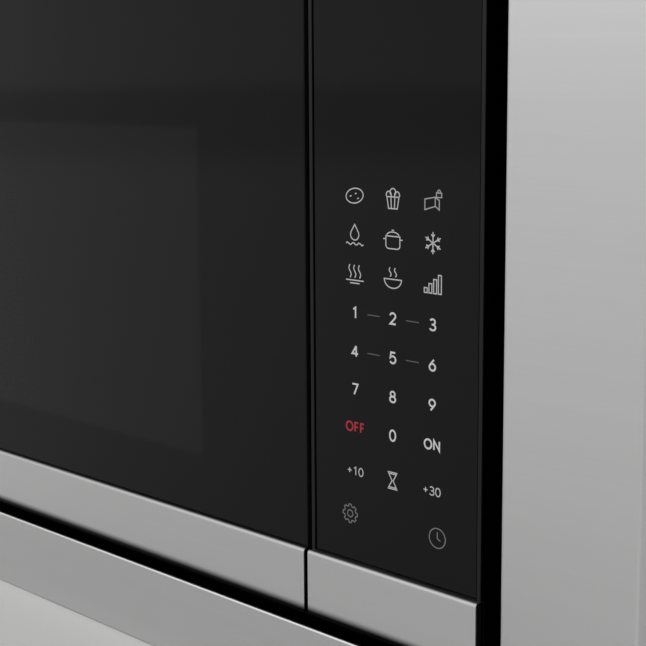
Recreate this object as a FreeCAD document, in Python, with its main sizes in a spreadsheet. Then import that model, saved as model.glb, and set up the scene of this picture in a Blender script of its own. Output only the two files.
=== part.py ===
"""Built-in microwave oven in a stainless trim frame, drawn as an assembly.

Frame: +X to the viewer's right, +Y into the cabinet, +Z up, in millimetres.
The origin is the middle of the four cabinet screws, on the cabinet's face.
"""
import FreeCAD, Part
import os
import re
import Sketcher
from FreeCAD import Placement, Rotation, Vector

os.makedirs("parts", exist_ok=True)
doc = FreeCAD.newDocument("built_in_microwave")

# Every size that can be set on its own.
SIZES = {
    # oven front
    "front_height": 356.0,
    "door_width": 465.0,
    "panel_width": 116.5,
    "seam_gap": 3.0,
    "shadow_gap": 11.5,
    "front_depth": 40.0,
    "glass_thick": 4.0,
    "glass_proud": 1.5,
    "glass_bevel": 0.5,
    "glass_seam": 0.5,
    "chassis_gap": 4.0,
    # stainless strip along the foot of the front
    "strip_height": 36.6,
    "strip_proud": 3.0,
    "strip_sheet": 1.0,
    "strip_top_bend": 2.0,
    "strip_bottom_bend": 7.5,
    "strip_end_gap": 0.3,
    # trim frame
    "stile_width": 77.25,
    "rail_height": 52.0,
    "trim_depth": 22.0,
    "trim_sheet": 1.2,
    "trim_bend": 1.5,
    "corner_screw_radius": 1.5,
    "corner_screw_head_radius": 3.0,
    "corner_screw_head": 1.8,
    "corner_screw_tail": 3.0,
    "screw_clearance": 0.1,
    # side brackets and air deflectors
    "bracket_sheet": 1.5,
    "bracket_flange": 40.0,
    "bracket_reach": 70.0,
    "bracket_hole_inset": 20.0,
    "bracket_hole_spacing": 220.0,
    "bracket_hole_radius": 2.5,
    "deflector_sheet": 1.0,
    "deflector_tuck": 8.0,
    "deflector_reach": 58.0,
    "deflector_end_gap": 0.2,
    # chassis
    "cover_inset": 2.0,
    "cover_sheet": 1.0,
    "chassis_drop": 10.0,
    "base_sheet": 1.0,
    "plate_sheet": 1.0,
    "rear_sheet": 1.0,
    "rear_space": 24.0,
    "foot_radius": 12.0,
    "foot_top_radius": 14.0,
    "foot_stem_radius": 4.0,
    "foot_stem": 5.0,
    "foot_inset": 40.0,
    "foot_setback": 75.0,
    "vent_length": 70.0,
    "vent_width": 5.0,
    "vent_pitch": 11.0,
    "base_vent_inset": 20.0,
    "base_vent_setback": 250.0,
    "rear_vent_rise": 130.0,
    "side_vent_room": 55.0,
    "side_vent_rise": 60.0,
    "cover_tab": 12.0,
    "cover_tab_depth": 8.0,
    "cover_screw_radius": 1.5,
    "cover_screw_head_radius": 3.5,
    "cover_screw_head": 2.2,
    "cover_screw_grip": 6.0,
    "gland_radius": 9.0,
    "gland_flange_radius": 13.0,
    "gland_flange": 3.0,
    "gland_bore_radius": 5.0,
    "gland_fit": 0.1,
    "gland_rise": 40.0,
    "wire_opening_width": 60.0,
    "wire_opening_height": 90.0,
    # oven cavity
    "cavity_latch_margin": 41.0,
    "cavity_headroom": 55.0,
    "cavity_depth": 400.0,
    "cavity_inset": 24.0,
    "cavity_rise": 51.0,
    "cavity_sheet": 1.0,
    "dish_margin": 15.0,
    "dish_depth": 6.0,
    "mica_thick": 0.6,
    "mica_lap": 8.0,
    "lamp_hole_radius": 14.0,
    "lamp_fan_gap": 8.0,
    "lamp_drop": 40.0,
    "lamp_cup_radius": 20.0,
    "lamp_cup_wall": 1.5,
    "lamp_cup_length": 46.0,
    "lamp_socket_radius": 7.0,
    "lamp_socket_fit": 0.1,
    "lamp_bulb_radius": 10.0,
    "lamp_neck": 10.0,
    "lamp_tip_gap": 6.0,
    "cutout_radius": 8.0,
    "cutout_height": 6.0,
    "cutout_share": 0.75,
    # microwave source
    "waveguide_width": 42.0,
    "waveguide_depth": 92.0,
    "waveguide_height": 148.0,
    "waveguide_sheet": 1.2,
    "waveguide_share": 0.49,
    "waveguide_drop": 207.0,
    "port_depth": 72.0,
    "port_height": 45.0,
    "port_rise": 10.0,
    "magnetron_rise": 108.0,
    "yoke_length": 62.0,
    "yoke_depth": 84.0,
    "yoke_height": 66.0,
    "yoke_sheet": 2.0,
    "antenna_radius": 7.0,
    "antenna_reach": 26.0,
    "antenna_hole_radius": 16.0,
    "magnet_radius": 27.0,
    "magnet_thick": 10.0,
    "anode_radius": 19.0,
    "core_neck_radius": 12.0,
    "core_fit": 0.1,
    "fin_thick": 0.8,
    "fin_pitch": 6.0,
    "fin_depth": 70.0,
    "fin_height": 50.0,
    "fin_margin": 4.0,
    "filter_depth": 44.0,
    "filter_height": 52.0,
    "filter_length": 30.0,
    # power supply
    "core_thick": 60.0,
    "core_limb": 30.0,
    "core_window": 18.0,
    "core_window_height": 46.0,
    "core_side_limb": 15.0,
    "transformer_inset": 55.0,
    "transformer_setback": 190.0,
    "coil_overhang": 16.0,
    "coil_gap": 1.0,
    "can_width": 52.0,
    "can_height": 32.0,
    "can_length": 95.0,
    "can_inset": 50.0,
    "can_setback": 70.0,
    "terminal_width": 6.0,
    "terminal_thick": 1.0,
    "terminal_length": 9.0,
    "terminal_spread": 20.0,
    "clamp_width": 16.0,
    "clamp_sheet": 1.0,
    "clamp_fit": 0.3,
    "clamp_foot": 14.0,
    "board_thick": 1.6,
    "filter_board_width": 90.0,
    "filter_board_height": 56.0,
    "filter_board_drop": 18.0,
    "standoff": 6.0,
    "standoff_radius": 3.0,
    "board_edge": 6.0,
    "choke_block": 22.0,
    # fan
    "fan_room": 70.0,
    "fan_rise": 190.0,
    "fan_hole_radius": 62.0,
    "fan_tip_radius": 57.0,
    "fan_hub_radius": 16.0,
    "fan_height": 24.0,
    "fan_chord": 30.0,
    "fan_blade": 2.0,
    "fan_shaft_radius": 2.5,
    "bearing_fit": 0.05,
    "bulkhead_sheet": 1.0,
    "strap_width": 16.0,
    "strap_sheet": 2.0,
    "strap_depth": 32.0,
    "strap_lap": 10.0,
    "stator_width": 46.0,
    "stator_depth": 18.0,
    "stator_bore_radius": 4.0,
    "shaft_end": 12.0,
    # turntable
    "motor_radius": 25.0,
    "motor_height": 18.0,
    "motor_ear": 10.0,
    "motor_ear_width": 14.0,
    "motor_ear_sheet": 1.5,
    "spindle_radius": 3.0,
    "spindle_sink": 12.0,
    "spindle_hole_radius": 8.0,
    "coupler_radius": 10.0,
    "lobe_reach": 22.0,
    "lobe_width": 8.0,
    "coupler_lift": 1.0,
    "tray_rest_gap": 0.3,
    "spider_bore_radius": 30.0,
    "spider_hub_wall": 6.0,
    "spider_thick": 4.0,
    "spider_arm_width": 10.0,
    "roller_radius": 8.0,
    "roller_width": 8.0,
    "roller_inset": 30.0,
    "roller_gap": 0.3,
    "roller_side_gap": 0.5,
    "axle_radius": 2.0,
    "axle_fit": 0.05,
    "axle_cap_radius": 3.5,
    "axle_cap": 2.0,
    "tray_gap": 7.0,
    "tray_slope": 18.0,
    "tray_thick": 5.0,
    "tray_rim": 14.0,
    "tray_rim_land": 3.0,
    "lug_radius": 3.5,
    "lug_height": 6.0,
    "lug_circle": 17.0,
    # control panel
    "panel_rim": 2.7,
    "panel_wall": 2.5,
    "panel_web": 2.0,
    "rim_setback": 0.8,
    "panel_glass_setback": 1.5,
    "display_margin": 15.75,
    "display_height": 30.0,
    "display_drop": 62.0,
    "display_fit": 0.5,
    "board_standoff": 8.0,
    "board_side_gap": 8.25,
    "board_drop": 36.0,
    "board_rise": 60.0,
    "relay_width": 18.0,
    "relay_depth": 15.0,
    "relay_pitch": 30.0,
    "relay_rise": 40.0,
    # door
    "door_wall": 3.0,
    "door_web": 2.0,
    "door_back_round": 6.0,
    "window_hinge_margin": 88.5,
    "window_side_margin": 86.9,
    "window_drop": 86.3,
    "window_rise": 73.6,
    "choke_cover_thick": 3.0,
    "inner_gap": 0.5,
    "pane_lap": 14.0,
    "pane_thick": 2.0,
    # hinge
    "hinge_inset": 12.0,
    "hinge_setback": 14.0,
    "hinge_arm_width": 18.0,
    "hinge_arm_nose": 9.0,
    "hinge_arm_thick": 2.5,
    "hinge_leg_sheet": 2.0,
    "hinge_leg": 50.0,
    "hinge_gap": 1.5,
    "hinge_pin_radius": 3.0,
    "hinge_pin": 14.0,
    "hinge_fit": 0.05,
    "bush_radius": 5.0,
    "bush_length": 16.0,
    "bush_flange_radius": 7.0,
    "bush_flange": 0.8,
    "bush_seat_fit": 0.02,
    "boss_width": 24.0,
    "boss_depth": 20.0,
    "boss_height": 24.0,
    # latch and interlock
    "hook_inset": 16.0,
    "hook_thick": 4.0,
    "hook_half_spacing": 85.0,
    "hook_arm": 8.0,
    "hook_nose": 5.0,
    "hook_nose_length": 6.0,
    "hook_reach": 18.0,
    "hook_bar": 10.0,
    "hook_travel": 4.0,
    "hook_slot_gap": 3.0,
    "latch_width": 30.0,
    "latch_depth": 38.0,
    "latch_height": 250.0,
    "latch_pocket_depth": 28.0,
    "switch_length": 28.0,
    "switch_height": 16.0,
    "switch_thick": 10.0,
    "switch_setback": 5.0,
    "switch_low_drop": 100.0,
    "switch_mid_rise": 50.0,
    "switch_high_rise": 80.0,
    "solenoid_length": 34.0,
    "solenoid_size": 26.0,
    "solenoid_setback": 6.0,
    "plunger_radius": 4.0,
    "plunger_fit": 0.05,
    "plunger_length": 46.0,
    "plunger_hole_radius": 5.0,
    "plunger_reach": 18.0,
    # how far a cutting tool runs past the face it cuts
    "overrun": 2.0,
}

# Places that follow from the sizes.
LAYOUT = {
    "front_width": "door_width + seam_gap + panel_width",
    "front_left": "-front_width / 2",
    "front_right": "front_width / 2",
    "front_bottom": "-front_height / 2",
    "front_top": "front_height / 2",
    "door_right": "front_left + door_width",
    "panel_left": "door_right + seam_gap",
    "opening_half_width": "front_width / 2 + shadow_gap",
    "opening_half_height": "front_height / 2 + shadow_gap",
    "trim_half_height": "opening_half_height + rail_height",
    "bracket_height": "2 * (opening_half_height - deflector_sheet - deflector_end_gap)",
    "glass_face": "-trim_depth - glass_proud",
    "glass_back": "glass_face + glass_thick",
    "front_back": "glass_face + front_depth",
    "plate_face": "front_back + chassis_gap",
    "plate_back": "plate_face + plate_sheet",
    "strip_face": "glass_face - strip_proud",
    "strip_top": "front_bottom + strip_height",
    "strip_return": "strip_proud + glass_thick - strip_end_gap",
    "cover_half_width": "front_width / 2 - cover_inset",
    "cover_top": "front_top - chassis_drop",
    "base_top": "front_bottom + base_sheet",
    "cavity_left": "front_left + cavity_inset",
    "cavity_width": "door_width - cavity_inset - cavity_latch_margin",
    "cavity_height": "front_height - chassis_drop - cavity_rise - cavity_headroom",
    "cavity_right": "cavity_left + cavity_width",
    "cavity_middle": "cavity_left + cavity_width / 2",
    "cavity_floor": "front_bottom + cavity_rise",
    "cavity_ceiling": "cavity_floor + cavity_height",
    "cavity_rear": "plate_back + cavity_depth",
    "cavity_centre": "plate_back + cavity_depth / 2",
    "rear_face": "cavity_rear + cavity_sheet + rear_space",
    "bay_left": "cavity_right + cavity_sheet",
    "bay_right": "cover_half_width - cover_sheet",
    "bay_middle": "(bay_left + bay_right) / 2",
    "dish_radius": "min(cavity_width; cavity_depth) / 2 - dish_margin",
    "dish_top": "cavity_floor - dish_depth",
    "tray_radius": "dish_radius - tray_gap",
    "tray_flat_radius": "tray_radius - tray_slope",
    "roller_circle": "tray_flat_radius - roller_inset",
    "axle_height": "dish_top + roller_gap + roller_radius",
    "tray_bottom": "axle_height + roller_radius + roller_gap",
    "motor_top": "dish_top - cavity_sheet",
    "wave_front": "plate_back + cavity_depth * waveguide_share - waveguide_depth / 2",
    "wave_bottom": "cover_top - waveguide_drop",
    "wave_right": "bay_left + waveguide_width",
    "magnetron_y": "wave_front + waveguide_depth / 2",
    "magnetron_z": "wave_bottom + magnetron_rise",
    "yoke_end": "wave_right + yoke_length",
    "bulkhead_y": "rear_face - fan_room",
    "lamp_y": "bulkhead_y - fan_height / 2 - lamp_fan_gap - lamp_cup_radius",
    "lamp_z": "cavity_ceiling - lamp_drop",
    "bulkhead_back": "bulkhead_y + bulkhead_sheet",
    "fan_z": "front_bottom + fan_rise",
    "strap_back": "bulkhead_back + strap_depth",
    "core_depth": "core_limb + 2 * core_window + 2 * core_side_limb",
    "core_height": "core_window_height + 2 * core_side_limb",
    "core_x": "bay_left + transformer_inset",
    "core_y": "plate_back + transformer_setback",
    "limb_y": "core_y + core_side_limb + core_window",
    "hinge_x": "front_left + hinge_inset",
    "hinge_y": "glass_face + hinge_setback",
    "choke_face": "front_back - choke_cover_thick",
    "window_left": "front_left + window_hinge_margin",
    "window_width": "door_width - window_hinge_margin - window_side_margin",
    "window_bottom": "front_bottom + window_rise",
    "window_height": "front_height - window_rise - window_drop",
    "hook_x": "door_right - hook_inset",
    "hook_bar_back": "choke_face - plate_sheet - inner_gap",
    "hook_tip": "plate_back + hook_reach",
    "latch_left": "hook_x - latch_width / 2",
    "latch_right": "hook_x + latch_width / 2",
    "board_face": "glass_back + panel_web + board_standoff",
    "panel_middle": "(panel_left + front_right) / 2",
    "display_width": "panel_width - 2 * display_margin",
    "board_width": "panel_width - 2 * panel_wall - 2 * board_side_gap",
    "board_height": "front_height - board_rise - board_drop",
}

SIDES = (-1, 1)
SLOTS = 8
FINS = 6
BLADES = 5
ROLLERS = 3
RELAYS = 3
CORNER_SCREW_SHARES = (0.3, 0.7)
SPLIT_TOLERANCE = 1e-6

WORD = re.compile(r"[a-z_][a-z_0-9]*")
TURN = {
    "x": Rotation(Vector(0, 1, 0), 90),
    "y": Rotation(Vector(1, 0, 0), -90),
    "z": Rotation(),
}
pieces = []


def formula(text):
    """Point each size name in an expression at the sheet that holds it."""
    def swap(match):
        word = match.group()
        if word in SIZES:
            return "Sizes." + word
        return "Layout." + word if word in LAYOUT else word
    return WORD.sub(swap, text)


def write_sheet(name, cells):
    """Put named values or formulas in a spreadsheet, one row each."""
    sheet = doc.addObject("Spreadsheet::Sheet", name)
    for row, (alias, content) in enumerate(cells.items(), 1):
        sheet.set(f"A{row}", alias)
        sheet.set(f"B{row}", content)
        sheet.setAlias(f"B{row}", alias)
    return sheet


sheet = write_sheet("Sizes", {name: str(value) for name, value in SIZES.items()})
doc.recompute()
layout = write_sheet("Layout", {name: "=" + formula(text) for name, text in LAYOUT.items()})
doc.recompute()


def number(text):
    """Return what an expression comes to with the present sizes."""
    return float(sheet.evalExpression(formula(text)))


def bind(obj, prop, text):
    """Tie a property to an expression of the sizes."""
    obj.setExpression(prop, formula(text))


def place(obj, at):
    """Tie an object's position to three expressions."""
    for axis, text in zip("xyz", at):
        bind(obj, f"Placement.Base.{axis}", text)
    return obj


def block(at, size):
    """Return a box from its low corner and its three sizes."""
    obj = doc.addObject("Part::Box", "block")
    for prop, text in zip(("Length", "Width", "Height"), size):
        bind(obj, prop, text)
    return place(obj, at)


def rod(axis, at, radius, length):
    """Return a cylinder that starts at a point and runs along an axis."""
    obj = doc.addObject("Part::Cylinder", "rod")
    obj.Placement = Placement(Vector(), TURN[axis])
    bind(obj, "Radius", radius)
    bind(obj, "Height", length)
    return place(obj, at)


def group(parts):
    """Return separate solids as one object."""
    obj = doc.addObject("Part::Compound", "group")
    obj.Links = list(parts)
    return obj


def fuse(*parts):
    """Return several solids joined into one."""
    obj = doc.addObject("Part::MultiFuse", "join")
    obj.Shapes = list(parts)
    obj.Refine = True
    return obj


def cut(base, *tools):
    """Return a solid less one or more tools that stand clear of each other."""
    obj = doc.addObject("Part::Cut", "less")
    obj.Base = base
    obj.Tool = tools[0] if len(tools) == 1 else group(tools)
    return obj


def soften(base, radius, wanted):
    """Round the straight edges of a box that a test picks out."""
    doc.recompute()
    obj = doc.addObject("Part::Fillet", "soften")
    obj.Base = base
    size = number(radius)
    edges = enumerate(base.Shape.Edges, 1)
    obj.Edges = [(index, size, size) for index, edge in edges if wanted(edge)]
    return obj


def outline(body, plane, points):
    """Return a closed sketch on an origin plane with every corner tied to the sizes."""
    sketch = body.newObject("Sketcher::SketchObject", "outline")
    support = next(part for part in body.Origin.OriginFeatures if part.Role == plane)
    sketch.AttachmentSupport = [(support, "")]
    sketch.MapMode = "FlatFace"
    corners = [Vector(number(across), number(up), 0) for across, up in points]
    for index, corner in enumerate(corners):
        following = corners[(index + 1) % len(corners)]
        sketch.addGeometry(Part.LineSegment(corner, following))
    for index in range(len(corners)):
        sketch.addConstraint(Sketcher.Constraint("Coincident", index, 2, (index + 1) % len(corners), 1))
    for index, (across, up) in enumerate(points):
        pin_corner(sketch, index, "DistanceX", across, -2)
        pin_corner(sketch, index, "DistanceY", up, -1)
    return sketch


def pin_corner(sketch, index, kind, text, axis):
    """Hold one coordinate of a sketch corner at an expression."""
    if text == "0":
        sketch.addConstraint(Sketcher.Constraint("PointOnObject", index, 1, axis))
        return
    row = sketch.addConstraint(Sketcher.Constraint(kind, -1, 1, index, 1, number(text)))
    bind(sketch, f"Constraints[{row}]", text)


def pad(body, plane, points, length):
    """Add a sketch drawn out along the positive axis to a body."""
    feature = body.newObject("PartDesign::Pad", "pad")
    feature.Profile = outline(body, plane, points)
    bind(feature, "Length", length)
    feature.Reversed = plane == "XZ_Plane"
    body.Tip = feature
    return feature


def profile(plane, points, length, at):
    """Return a body with one outline drawn out from a starting point."""
    body = doc.addObject("PartDesign::Body", "profile")
    pad(body, plane, points, length)
    return place(body, at)


def turned(axis, points, at):
    """Return a body turned about an axis from radius and height pairs."""
    body = doc.addObject("PartDesign::Body", "turned")
    body.Placement = Placement(Vector(), TURN[axis])
    feature = body.newObject("PartDesign::Revolution", "turn")
    feature.Profile = outline(body, "XZ_Plane", points)
    feature.ReferenceAxis = (feature.Profile[0], ["V_Axis"])
    feature.Angle = 360
    body.Tip = feature
    return place(body, at)


def ring_of(body, feature, count):
    """Repeat a body's feature round the body's own Z axis."""
    pattern = body.newObject("PartDesign::PolarPattern", "ring_of")
    pattern.Originals = [feature]
    axis = next(part for part in body.Origin.OriginFeatures if part.Role == "Z_Axis")
    pattern.Axis = (axis, [""])
    pattern.Angle = 360
    pattern.Occurrences = count
    body.Tip = pattern
    return pattern


def dress(body, kind, prop, size, wanted):
    """Round or bevel the edges of a body that a test picks out."""
    doc.recompute()
    edges = enumerate(body.Shape.Edges, 1)
    names = [f"Edge{index}" for index, edge in edges if wanted(edge)]
    base = body.Tip
    feature = body.newObject(kind, "dress")
    feature.Base = (base, names)
    bind(feature, prop, size)
    body.Tip = feature
    return body


def lies_at(axis, text):
    """Return a test for edges that lie in the plane where an axis has a value."""
    value = number(text)

    def wanted(edge):
        box = edge.BoundBox
        low = getattr(box, axis.upper() + "Min")
        high = getattr(box, axis.upper() + "Max")
        return abs(low - value) < SPLIT_TOLERANCE and abs(high - value) < SPLIT_TOLERANCE
    return wanted


def both(first, second):
    """Return a test that two tests share."""
    return lambda edge: first(edge) and second(edge)


def signed(side, text):
    """Return an expression on the left or right of the middle."""
    return text if side > 0 else f"-({text})"


def start(side, near, length):
    """Return where a span begins that runs outward from a distance off the middle."""
    return near if side > 0 else f"-({near} + {length})"


def publish(name, obj):
    """Name a finished piece for writing."""
    obj.Label = name
    pieces.append(obj)


def slots(at, size, axis, pitch, count):
    """Return a row of equal boxes stepped along an axis."""
    row = []
    for index in range(count):
        spot = list(at)
        spot["xyz".index(axis)] += f" + {index} * {pitch}"
        row.append(block(spot, size))
    return row


def trim_tray(x, z, width, height):
    """Return a folded tray with its open side to the cabinet and soft front edges."""
    outside = block((x, "-trim_depth", z), (width, "trim_depth", height))
    doc.recompute()
    outside = soften(outside, "trim_bend", lies_at("y", "-trim_depth"))
    inside = block((f"{x} + trim_sheet", "-trim_depth + trim_sheet", f"{z} + trim_sheet"),
                   (f"{width} - 2 * trim_sheet", "trim_depth", f"{height} - 2 * trim_sheet"))
    return cut(outside, inside)


def corner_rods(radius, near, length):
    """Return one rod along X at each corner screw of the trim frame."""
    rods = []
    for side in SIDES:
        for end in SIDES:
            for share in CORNER_SCREW_SHARES:
                height = signed(end, f"opening_half_height + rail_height * {share}")
                rods.append(rod("x", (start(side, near, length), "-trim_depth / 2", height), radius, length))
    return rods


def make_trim():
    """Draw the four trim trays, the screws that join them, brackets and deflectors."""
    hole = "corner_screw_radius + screw_clearance"
    reach = "2 * trim_sheet + 2 * overrun"
    for side, name in zip(SIDES, ("trim_left_stile", "trim_right_stile")):
        tray = trim_tray(start(side, "opening_half_width", "stile_width"), "-trim_half_height",
                         "stile_width", "2 * trim_half_height")
        notch = block((start(side, "opening_half_width - overrun", "trim_sheet + 2 * overrun"),
                       "-bracket_sheet", "-bracket_height / 2"),
                      ("trim_sheet + 2 * overrun", "bracket_sheet + overrun", "bracket_height"))
        holes = corner_rods(hole, "opening_half_width - trim_sheet - overrun", reach)
        publish(name, cut(tray, notch, *holes))
    for end, name in zip(SIDES, ("trim_bottom_rail", "trim_top_rail")):
        tray = trim_tray("-opening_half_width", start(end, "opening_half_height", "rail_height"),
                         "2 * opening_half_width", "rail_height")
        holes = corner_rods(hole, "opening_half_width - trim_sheet - overrun", reach)
        publish(name, cut(tray, *holes))
    seat = "opening_half_width - trim_sheet"
    shanks = corner_rods("corner_screw_radius", seat, "2 * trim_sheet + corner_screw_tail")
    heads = corner_rods("corner_screw_head_radius", f"{seat} - corner_screw_head", "corner_screw_head")
    publish("corner_screws", group(fuse(*pair) for pair in zip(shanks, heads)))
    publish("side_brackets", group(side_bracket(side) for side in SIDES))
    publish("air_deflectors", group(air_deflector(end) for end in SIDES))


def side_bracket(side):
    """Return one folded bracket from the cabinet's face round to the oven's cover."""
    corners = (
        ("opening_half_width + bracket_flange", "-bracket_sheet"),
        ("opening_half_width + bracket_flange", "0"),
        ("opening_half_width", "0"),
        ("opening_half_width", "bracket_reach"),
        ("cover_half_width", "bracket_reach"),
        ("cover_half_width", "bracket_reach - bracket_sheet"),
        ("opening_half_width - bracket_sheet", "bracket_reach - bracket_sheet"),
        ("opening_half_width - bracket_sheet", "-bracket_sheet"),
    )
    points = [(signed(side, across), up) for across, up in corners]
    sheet_metal = profile("XY_Plane", points, "bracket_height", ("0", "0", "-bracket_height / 2"))
    holes = []
    for end in SIDES:
        spot = (signed(side, "opening_half_width + bracket_hole_inset"), "-bracket_sheet - overrun",
                signed(end, "bracket_hole_spacing / 2"))
        holes.append(rod("y", spot, "bracket_hole_radius", "bracket_sheet + 2 * overrun"))
    return cut(sheet_metal, *holes)


def air_deflector(end):
    """Return one folded sheet that closes the gap between a rail and the oven."""
    oven = "cover_top" if end > 0 else "-front_bottom"
    corners = (
        ("-deflector_tuck", "opening_half_height"),
        ("deflector_reach", "opening_half_height"),
        ("deflector_reach", oven),
        ("deflector_reach - deflector_sheet", oven),
        ("deflector_reach - deflector_sheet", "opening_half_height - deflector_sheet"),
        ("-deflector_tuck", "opening_half_height - deflector_sheet"),
    )
    points = [(across, signed(end, up)) for across, up in corners]
    half = "(opening_half_width - bracket_sheet - deflector_end_gap)"
    return profile("YZ_Plane", points, f"2 * {half}", (f"-{half}", "0", "0"))


def foot_places():
    """Return the plan position of each foot."""
    places = []
    for side in SIDES:
        for depth in ("plate_face + foot_setback", "rear_face - foot_inset"):
            places.append((signed(side, "cover_half_width - foot_inset"), depth))
    return places


def make_chassis():
    """Draw the base, feet, front plate, cover, rear panel and its fittings."""
    width = "2 * cover_half_width"
    depth = "rear_face + rear_sheet - plate_face"
    stem_hole = "foot_stem_radius + screw_clearance"
    base = block(("-cover_half_width", "plate_face", "front_bottom"), (width, depth, "base_sheet"))
    tools = slots(("bay_left + base_vent_inset", "plate_face + base_vent_setback", "front_bottom - overrun"),
                  ("vent_length", "vent_width", "base_sheet + 2 * overrun"), "y", "vent_pitch", SLOTS)
    for x, y in foot_places():
        tools.append(rod("z", (x, y, "front_bottom - overrun"), stem_hole, "base_sheet + 2 * overrun"))
    publish("base_plate", cut(base, *tools))
    foot = (
        ("0", "0"),
        ("foot_radius", "0"),
        ("foot_top_radius", "shadow_gap"),
        ("foot_stem_radius", "shadow_gap"),
        ("foot_stem_radius", "shadow_gap + foot_stem"),
        ("0", "shadow_gap + foot_stem"),
    )
    publish("feet", group(turned("z", foot, (x, y, "-opening_half_height")) for x, y in foot_places()))

    plate = block(("-cover_half_width", "plate_face", "base_top"),
                  (width, "plate_sheet", "cover_top - base_top"))
    through = "plate_sheet + 2 * overrun"
    mouth = block(("cavity_left", "plate_face - overrun", "cavity_floor"),
                  ("cavity_width", through, "cavity_height"))
    wires = block(("panel_middle - wire_opening_width / 2", "plate_face - overrun",
                   "-wire_opening_height / 2"),
                  ("wire_opening_width", through, "wire_opening_height"))
    publish("front_plate", cut(plate, mouth, wires,
                               *hook_slots("plate_face - overrun", through, "hook_nose")))

    make_cover(width)
    make_rear_panel(width)


def make_cover(width):
    """Draw the U-shaped outer cover with its vents and screw tabs."""
    length = "rear_face - plate_back"
    height = "cover_top - base_top"
    outside = block(("-cover_half_width", "plate_back", "base_top"), (width, length, height))
    inside = block(("-cover_half_width + cover_sheet", "plate_back - overrun", "base_top - overrun"),
                   (f"{width} - 2 * cover_sheet", f"{length} + 2 * overrun",
                    f"{height} - cover_sheet + overrun"))
    skin = cut(outside, inside)
    vents = slots(("bay_right - overrun", "rear_face - side_vent_room - vent_length",
                   "base_top + side_vent_rise"),
                  ("cover_sheet + 2 * overrun", "vent_length", "vent_width"), "z", "vent_pitch", SLOTS)
    tabs = []
    for side in SIDES:
        for height in ("base_top", "cover_top - cover_sheet - cover_tab"):
            tabs.append(block((start(side, "bay_right - cover_tab", "cover_tab"),
                               "rear_face - cover_tab_depth", height),
                              ("cover_tab", "cover_tab_depth", "cover_tab")))
    holes = cover_screw_rods("cover_screw_radius + screw_clearance",
                             "rear_face - cover_tab_depth - overrun", "cover_tab_depth + 2 * overrun")
    publish("outer_cover", cut(fuse(skin, *tabs), *vents, *holes))


def cover_screw_rods(radius, near, length):
    """Return one rod along Y at each screw that holds the rear panel."""
    rods = []
    for side in SIDES:
        for height in ("base_top + cover_tab / 2", "cover_top - cover_sheet - cover_tab / 2"):
            rods.append(rod("y", (signed(side, "bay_right - cover_tab / 2"), near, height), radius, length))
    return rods


def make_rear_panel(width):
    """Draw the rear panel, its screws and the cord gland."""
    panel = block(("-cover_half_width", "rear_face", "base_top"),
                  (width, "rear_sheet", "cover_top - base_top"))
    through = "rear_sheet + 2 * overrun"
    vents = slots(("bay_middle - vent_length / 2", "rear_face - overrun", "base_top + rear_vent_rise"),
                  ("vent_length", through, "vent_width"), "z", "vent_pitch", SLOTS)
    holes = cover_screw_rods("cover_screw_radius + screw_clearance", "rear_face - overrun", through)
    gland_spot = ("bay_middle", "rear_face - overrun", "base_top + gland_rise")
    gland_hole = rod("y", gland_spot, "gland_radius + gland_fit", through)
    publish("rear_panel", cut(panel, *vents, *holes, gland_hole))

    shanks = cover_screw_rods("cover_screw_radius", "rear_face + rear_sheet - cover_screw_grip",
                              "cover_screw_grip")
    heads = cover_screw_rods("cover_screw_head_radius", "rear_face + rear_sheet", "cover_screw_head")
    publish("cover_screws", group(fuse(*pair) for pair in zip(shanks, heads)))

    gland = (
        ("gland_bore_radius", "-gland_flange"),
        ("gland_radius", "-gland_flange"),
        ("gland_radius", "rear_sheet"),
        ("gland_flange_radius", "rear_sheet"),
        ("gland_flange_radius", "rear_sheet + gland_flange"),
        ("gland_bore_radius", "rear_sheet + gland_flange"),
    )
    publish("cord_gland", turned("y", gland, ("bay_middle", "rear_face", "base_top + gland_rise")))


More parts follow.
